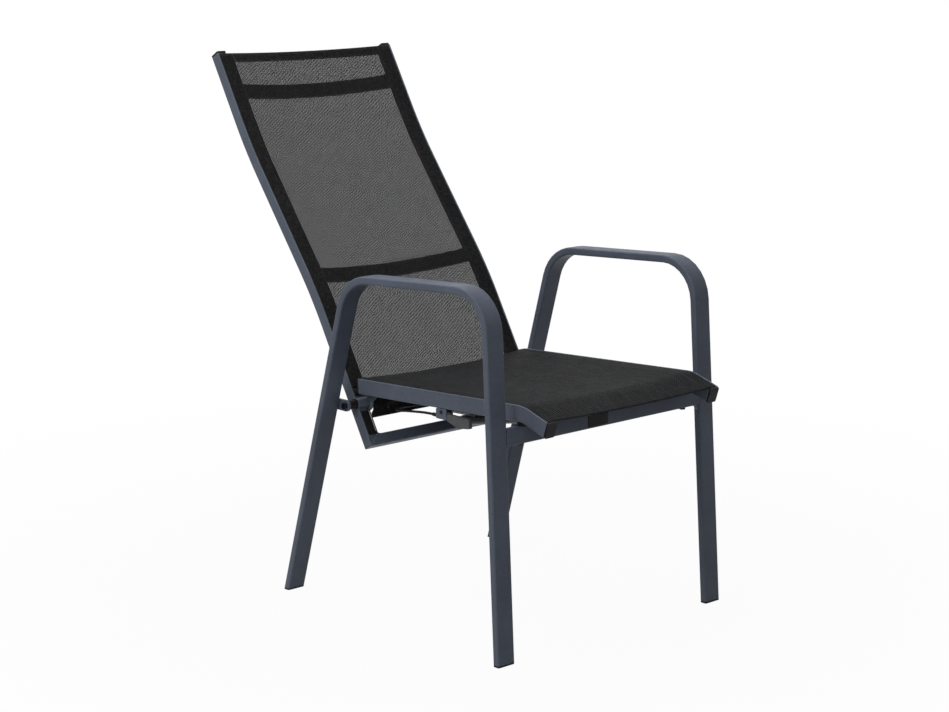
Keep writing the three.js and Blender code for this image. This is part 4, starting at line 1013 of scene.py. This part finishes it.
def seat_sling():
    """The seat's cloth with its hems and welts, and its stitches."""
    bm, uv = new_mesh()
    start, end = SEAT_START, SEAT.line.length
    side = SEAT.outer - HEM_IN
    ends = ((start, start + SEAT_END_HEM), (end - SEAT_END_HEM, end))
    hemmed_sling(bm, uv, SEAT, steps(start, end, SEAT_STEP))
    for low, high in ends:
        end_hem(bm, uv, SEAT, low, high, side - HEM_GAP)
    for s in (start, end):
        edge_roll(bm, uv, SEAT, roll_spots(SEAT, s))
    welts(bm, uv, SEAT, WELT_INSET, end - WELT_INSET)
    cloth = new_piece("seat_sling_cloth", bm, "base", MESH_SEAT)
    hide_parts("seat_sling", "seat_welt_right", "seat_welt_left")
    side += STITCH_INSET
    rows = side_seams(side, start + SEAM_IN, end - SEAM_IN)
    for s in (start + SEAT_END_HEM - STITCH_INSET, end - SEAT_END_HEM + STITCH_INSET):
        rows.append(end_seam(side - SEAM_IN, s))
    seams = seam_piece("seat_sling_stitches", SEAT, rows, "base")


def flap_half(distance):
    """Half the width of the back sling where it hangs free under its held part."""
    top = BACK.outer - EDGE_IN
    foot = FLAP_FOOT_HALF_WIDTH - FLAP_HALF_WIDTH
    half = FLAP_HALF_WIDTH + foot * (1 - smooth(distance, FLAP_FOOT - FLAP_FOOT_TAPER, FLAP_FOOT))
    return half + (top - FLAP_HALF_WIDTH) * smooth(distance, FLAP_TOP - FLAP_TAPER, FLAP_TOP)


def back_flap(bm, uv):
    """The free lower part of the back sling, with its side and end hems."""
    distances = steps(FLAP_END, FLAP_TOP, FLAP_STEP)
    shares = steps(-1, 1, FLAP_ACROSS_SHARE)
    rows = [flat_row(BACK, s, [flap_half(s) * share for share in shares], MAIN_LEVEL) for s in distances]
    grid_sheet(bm, uv, rows, CLOTH_THICK)
    hem_shares = steps(0, 1, FLAP_HEM_SHARE)
    low = FLAP_HALF_WIDTH - FLAP_HEM
    for sign in (-1, 1):
        hem = []
        for s in distances:
            xs = [sign * (low + (flap_half(s) - low) * share) for share in hem_shares]
            hem.append(flat_row(BACK, s, xs, UNDER_LEVEL, HEM_SHIFT)[::sign])
        grid_sheet(bm, uv, hem, CLOTH_THICK)
    end_hem(bm, uv, BACK, FLAP_END, FLAP_END + BACK_END_HEM, low - HEM_GAP)
    half = flap_half(FLAP_END)
    edge_roll(bm, uv, BACK, [(x, FLAP_END) for x in steps(-half, half, FLAP_ROLL_STEP)])


def cloth_and_shade_strips(bm, uv):
    """The cloth's edges that stay in the grooves beside the flap, under and over the hinge tube. Below the
    flap's end the lower strips are a dark sheet that paints the shade on the rails' front faces.
    """
    for start, end in CLOTH_AND_SHADE_STRIPS:
        for sign in (-1, 1):
            xs = [sign * x for x in steps(STRIP_IN, BACK.outer - EDGE_IN, STRIP_ACROSS_STEP)]
            rows = []
            for s in steps(start, end, STRIP_STEP):
                row = flat_row(BACK_EDGES, s, xs, MAIN_LEVEL)
                row += edge_row(BACK_EDGES, s, sign, MAIN_EDGE, MAIN_LEVEL)
                rows.append(row[::sign])
            grid_sheet(bm, uv, rows, CLOTH_THICK)


def back_sling():
    """The back's cloth with its flap, hems and welts, and its stitches."""
    bm, uv = new_mesh()
    end = BACK.line.length - BACK_TOP_INSET
    side = BACK.outer - HEM_IN
    hemmed_sling(bm, uv, BACK, steps(FLAP_TOP, end, BACK_STEP))
    back_flap(bm, uv)
    cloth_and_shade_strips(bm, uv)
    end_hem(bm, uv, BACK, end - BACK_END_HEM, end, side - HEM_GAP)
    edge_roll(bm, uv, BACK, roll_spots(BACK, end))
    welts(bm, uv, BACK, BACK_WELT_START, BACK.line.length - WELT_INSET)
    cloth = new_piece("back_sling_cloth", bm, "back", MESH_BACK)
    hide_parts("back_sling", "back_welt_right", "back_welt_left")
    side += STITCH_INSET
    rows = side_seams(side, FLAP_TOP + SEAM_OVER_FLAP, end - SEAM_IN)
    rows.append(end_seam(side - SEAM_IN, end - BACK_END_HEM + STITCH_INSET))
    rows.append(end_seam(FLAP_HALF_WIDTH - FLAP_SEAM_IN, FLAP_END + BACK_END_HEM - STITCH_INSET))
    seams = seam_piece("back_sling_stitches", BACK, rows, "back")


# Small pieces

def blank_tag():
    """The tag, which curls a little towards its free end."""
    low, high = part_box("blank_tag")
    middle = (low.y + high.y) / 2
    across_step, down_step = TAG_STEPS
    waves, wave_start = TAG_WAVES
    bm, uv = new_mesh()
    rows = []
    for t in steps(0, 1, down_step):
        row = []
        for u in steps(0, 1, across_step):
            curl = (TAG_CURL * math.sin(math.pi * (u * waves + wave_start)) + TAG_LEAN) * t * t
            spot = Vector((low.x + (high.x - low.x) * u, middle - curl * MM, high.z - (high.z - low.z) * t))
            row.append((spot, Vector((0, -1, 0)), (u * TAG_WIDTH * MM, t * TAG_HEIGHT * MM)))
        rows.append(row)
    grid_sheet(bm, uv, rows, TAG_THICK)
    tag = new_piece("tag_cloth_piece", bm, "base", LABEL)
    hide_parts("blank_tag")


def return_spring():
    """The coil spring that hooks over the lever's peg and into the rail."""
    slope = math.cos(math.radians(SEAT_SLOPE))

    def axis(y):
        """Height of the coil's middle under the rail."""
        return seat_top(y) - (SEAT_RAIL_DEPTH + COIL_DROP) / slope

    reach = PEG_RADIUS + COIL_WIRE + HOOK_GAP
    back, top = PEG[0] + reach, PEG[1] + reach
    bend, drop = HOOK_BEND
    spots = [(0, back, PEG[1] - HOOK_TAIL), (0, back, top - drop)]
    spots += [(0, back - bend, top), (0, PEG[0] - HOOK_LENGTH, top)]
    for share in steps(0, 1, 1 / (COIL_TURNS * COIL_TURN_STEPS)):
        y = COIL_START + (COIL_END - COIL_START) * share
        angle = 2 * math.pi * COIL_TURNS * share
        spots.append((COIL_RADIUS * math.sin(angle), y, axis(y) + COIL_RADIUS * math.cos(angle)))
    end = axis(COIL_ANCHOR)
    run, rise = ANCHOR_BEND
    spots += [(0, COIL_END - COIL_TAIL, axis(COIL_END)), (0, COIL_ANCHOR + run, end)]
    spots += [(0, COIL_ANCHOR, end + rise), (0, COIL_ANCHOR, end + COIL_ANCHOR_RISE)]
    line = [place(COIL_X + x, (y, z)) for x, y, z in spots]
    bm, uv = new_mesh()
    tube(bm, uv, line, [COIL_WIRE] * len(line), COIL_SIDES)
    spring = new_piece("return_spring_wire", bm, "base", DARK_STEEL)
    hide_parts("lever_return_spring")


def ribbed(points):
    """Radii of the sheath: plain, with a ribbed stretch near the hinge."""
    radii = []
    along = 0
    start, end = SHEATH_RIBS
    for a, b in zip(points, [*points[1:], points[-1]]):
        rising = smooth(along, start, start + SHEATH_RIB_FADE)
        falling = 1 - smooth(along, end - SHEATH_RIB_FADE, end)
        rib = 0.5 + 0.5 * math.cos(2 * math.pi * along / SHEATH_RIB_PITCH)
        radii.append(SHEATH_RADIUS + SHEATH_RIB_HEIGHT * rising * falling * rib)
        along += (b - a).length / MM
    return radii


def even_steps(points, step):
    """The same line with points at even steps in metres."""
    out = [points[0]]
    left = step
    for a, b in zip(points, points[1:]):
        length = (b - a).length
        while left <= length:
            out.append(a.lerp(b, left / length))
            left += step
        left -= length
    return [*out, points[-1]]


def release_cable():
    """The sheath, the bare wire at both of its ends, and the nipple in the release arm."""
    front, rear = middle_of("spring_front_pin"), middle_of("spring_rear_pin")
    ahead = (rear - front).normalized()
    above = Vector((0, -ahead.z, ahead.y))

    def on_spring(along):
        return front + (ahead * along + above * WIRE_RISE) * MM

    def at_lever(y):
        return place(CABLE_X, (y, CABLE_HEIGHT))

    knots = [place(x, (y, z)) for x, y, z in SHEATH_ROUTE] + [on_spring(SHEATH_STRAIGHT)]
    line = [at_lever(SHEATH_START), *curve_through(knots, SHEATH_SPAN_POINTS), on_spring(SHEATH_END)]
    line = even_steps(line, SHEATH_STEP * MM)
    bm, uv = new_mesh()
    tube(bm, uv, line, ribbed(line), SHEATH_SIDES)
    lever_wire = [at_lever(CABLE_AT_LEVER), at_lever(SHEATH_START - WIRE_GAP)]
    spring_wire = [on_spring(NIPPLE[1]), on_spring(SHEATH_END - WIRE_GAP)]
    nipple = [on_spring(NIPPLE[0]), on_spring(NIPPLE[1] - WIRE_GAP)]
    for ends, radius in ((lever_wire, WIRE_RADIUS), (spring_wire, WIRE_RADIUS), (nipple, NIPPLE_RADIUS)):
        tube(bm, uv, ends, [radius] * len(ends), WIRE_SIDES, 1)
    cable = new_piece("release_cable_sheath", bm, "base", SHEATH)
    cable.data.materials.append(STEEL)
    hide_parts("release_cable")


# Stage, light and camera

def seen_plainly(net):
    """1 for the eye, and for what a mirror or glass shows, and 0 for light on the object."""
    path = net.nodes.new("ShaderNodeLightPath")
    mirror = net.math("MAXIMUM", path.outputs["Is Camera Ray"], path.outputs["Is Glossy Ray"])
    return net.math("MAXIMUM", mirror, path.outputs["Is Transmission Ray"])


def make_floor():
    """A pale floor that turns white away from the chair and keeps its shadow."""
    bm, _ = new_mesh()
    bmesh.ops.create_circle(bm, cap_ends=True, segments=FLOOR_SIDES, radius=FLOOR_RADIUS)
    net = new_net("floor_pale")
    material = net.set(Base_Color=FLOOR_TONE, Roughness=FLOOR_ROUGH, Specular_IOR_Level=FLOOR_GLOSS)
    glow = net.add("ShaderNodeEmission", WHITE, 1.0)
    coords = net.nodes.new("ShaderNodeTexCoord")
    length = net.nodes.new("ShaderNodeVectorMath")
    length.operation = "LENGTH"
    net.links.new(coords.outputs["Object"], length.inputs[0])
    far = net.spread(length.outputs["Value"], *FLOOR_FADE, FLOOR_NEAR, 1.0)
    share = net.math("MULTIPLY", seen_plainly(net), far)
    plain = net.nodes["Principled BSDF"].outputs[0]
    both = net.add("ShaderNodeMixShader", share, plain, glow)
    net.links.new(both, net.nodes["Material Output"].inputs["Surface"])
    floor = mesh_object("floor", bm, material)
    floor.location.z = -FLOOR_DROP


def make_world():
    """A background that is white to the eye and dim as a light."""
    world = bpy.data.worlds.new("studio")
    bpy.context.scene.world = world
    net = Net(world)
    background = net.nodes["Background"]
    background.inputs["Color"].default_value = WHITE
    strength = net.spread(seen_plainly(net), 0.0, 1.0, WORLD_LEVEL, 1.0)
    net.links.new(strength, background.inputs["Strength"])


def area_light(name, position, target, size, watts):
    data = bpy.data.lights.new(name, "AREA")
    data.shape = "RECTANGLE"
    data.size, data.size_y = size
    data.energy = watts
    light = add_object(name, data)
    light.location = position
    light.rotation_mode = "QUATERNION"
    light.rotation_quaternion = (Vector(target) - Vector(position)).to_track_quat("-Z", "Y")


def make_camera():
    forward = Vector(CAMERA_FORWARD).normalized()
    right = forward.cross(Vector((0, 0, 1))).normalized()
    up = right.cross(forward)
    roll = math.radians(CAMERA_ROLL)
    side = right * math.cos(roll) + up * math.sin(roll)
    top = up * math.cos(roll) - right * math.sin(roll)
    turn = Matrix((side, top, -forward)).transposed()
    data = bpy.data.cameras.new("camera")
    data.lens = CAMERA_LENS
    data.sensor_width = CAMERA_SENSOR
    data.sensor_fit = "HORIZONTAL"
    camera = add_object("camera", data)
    camera.matrix_world = Matrix.Translation(CAMERA_PLACE) @ turn.to_4x4()
    bpy.context.scene.camera = camera


make_camera()
dress_nodes()
seat_sling()
back_sling()
blank_tag()
return_spring()
release_cable()
make_floor()
make_world()
for light_name, settings in LIGHTS.items():
    area_light(light_name, *settings)

bpy.context.scene.view_settings.view_transform = "Standard"
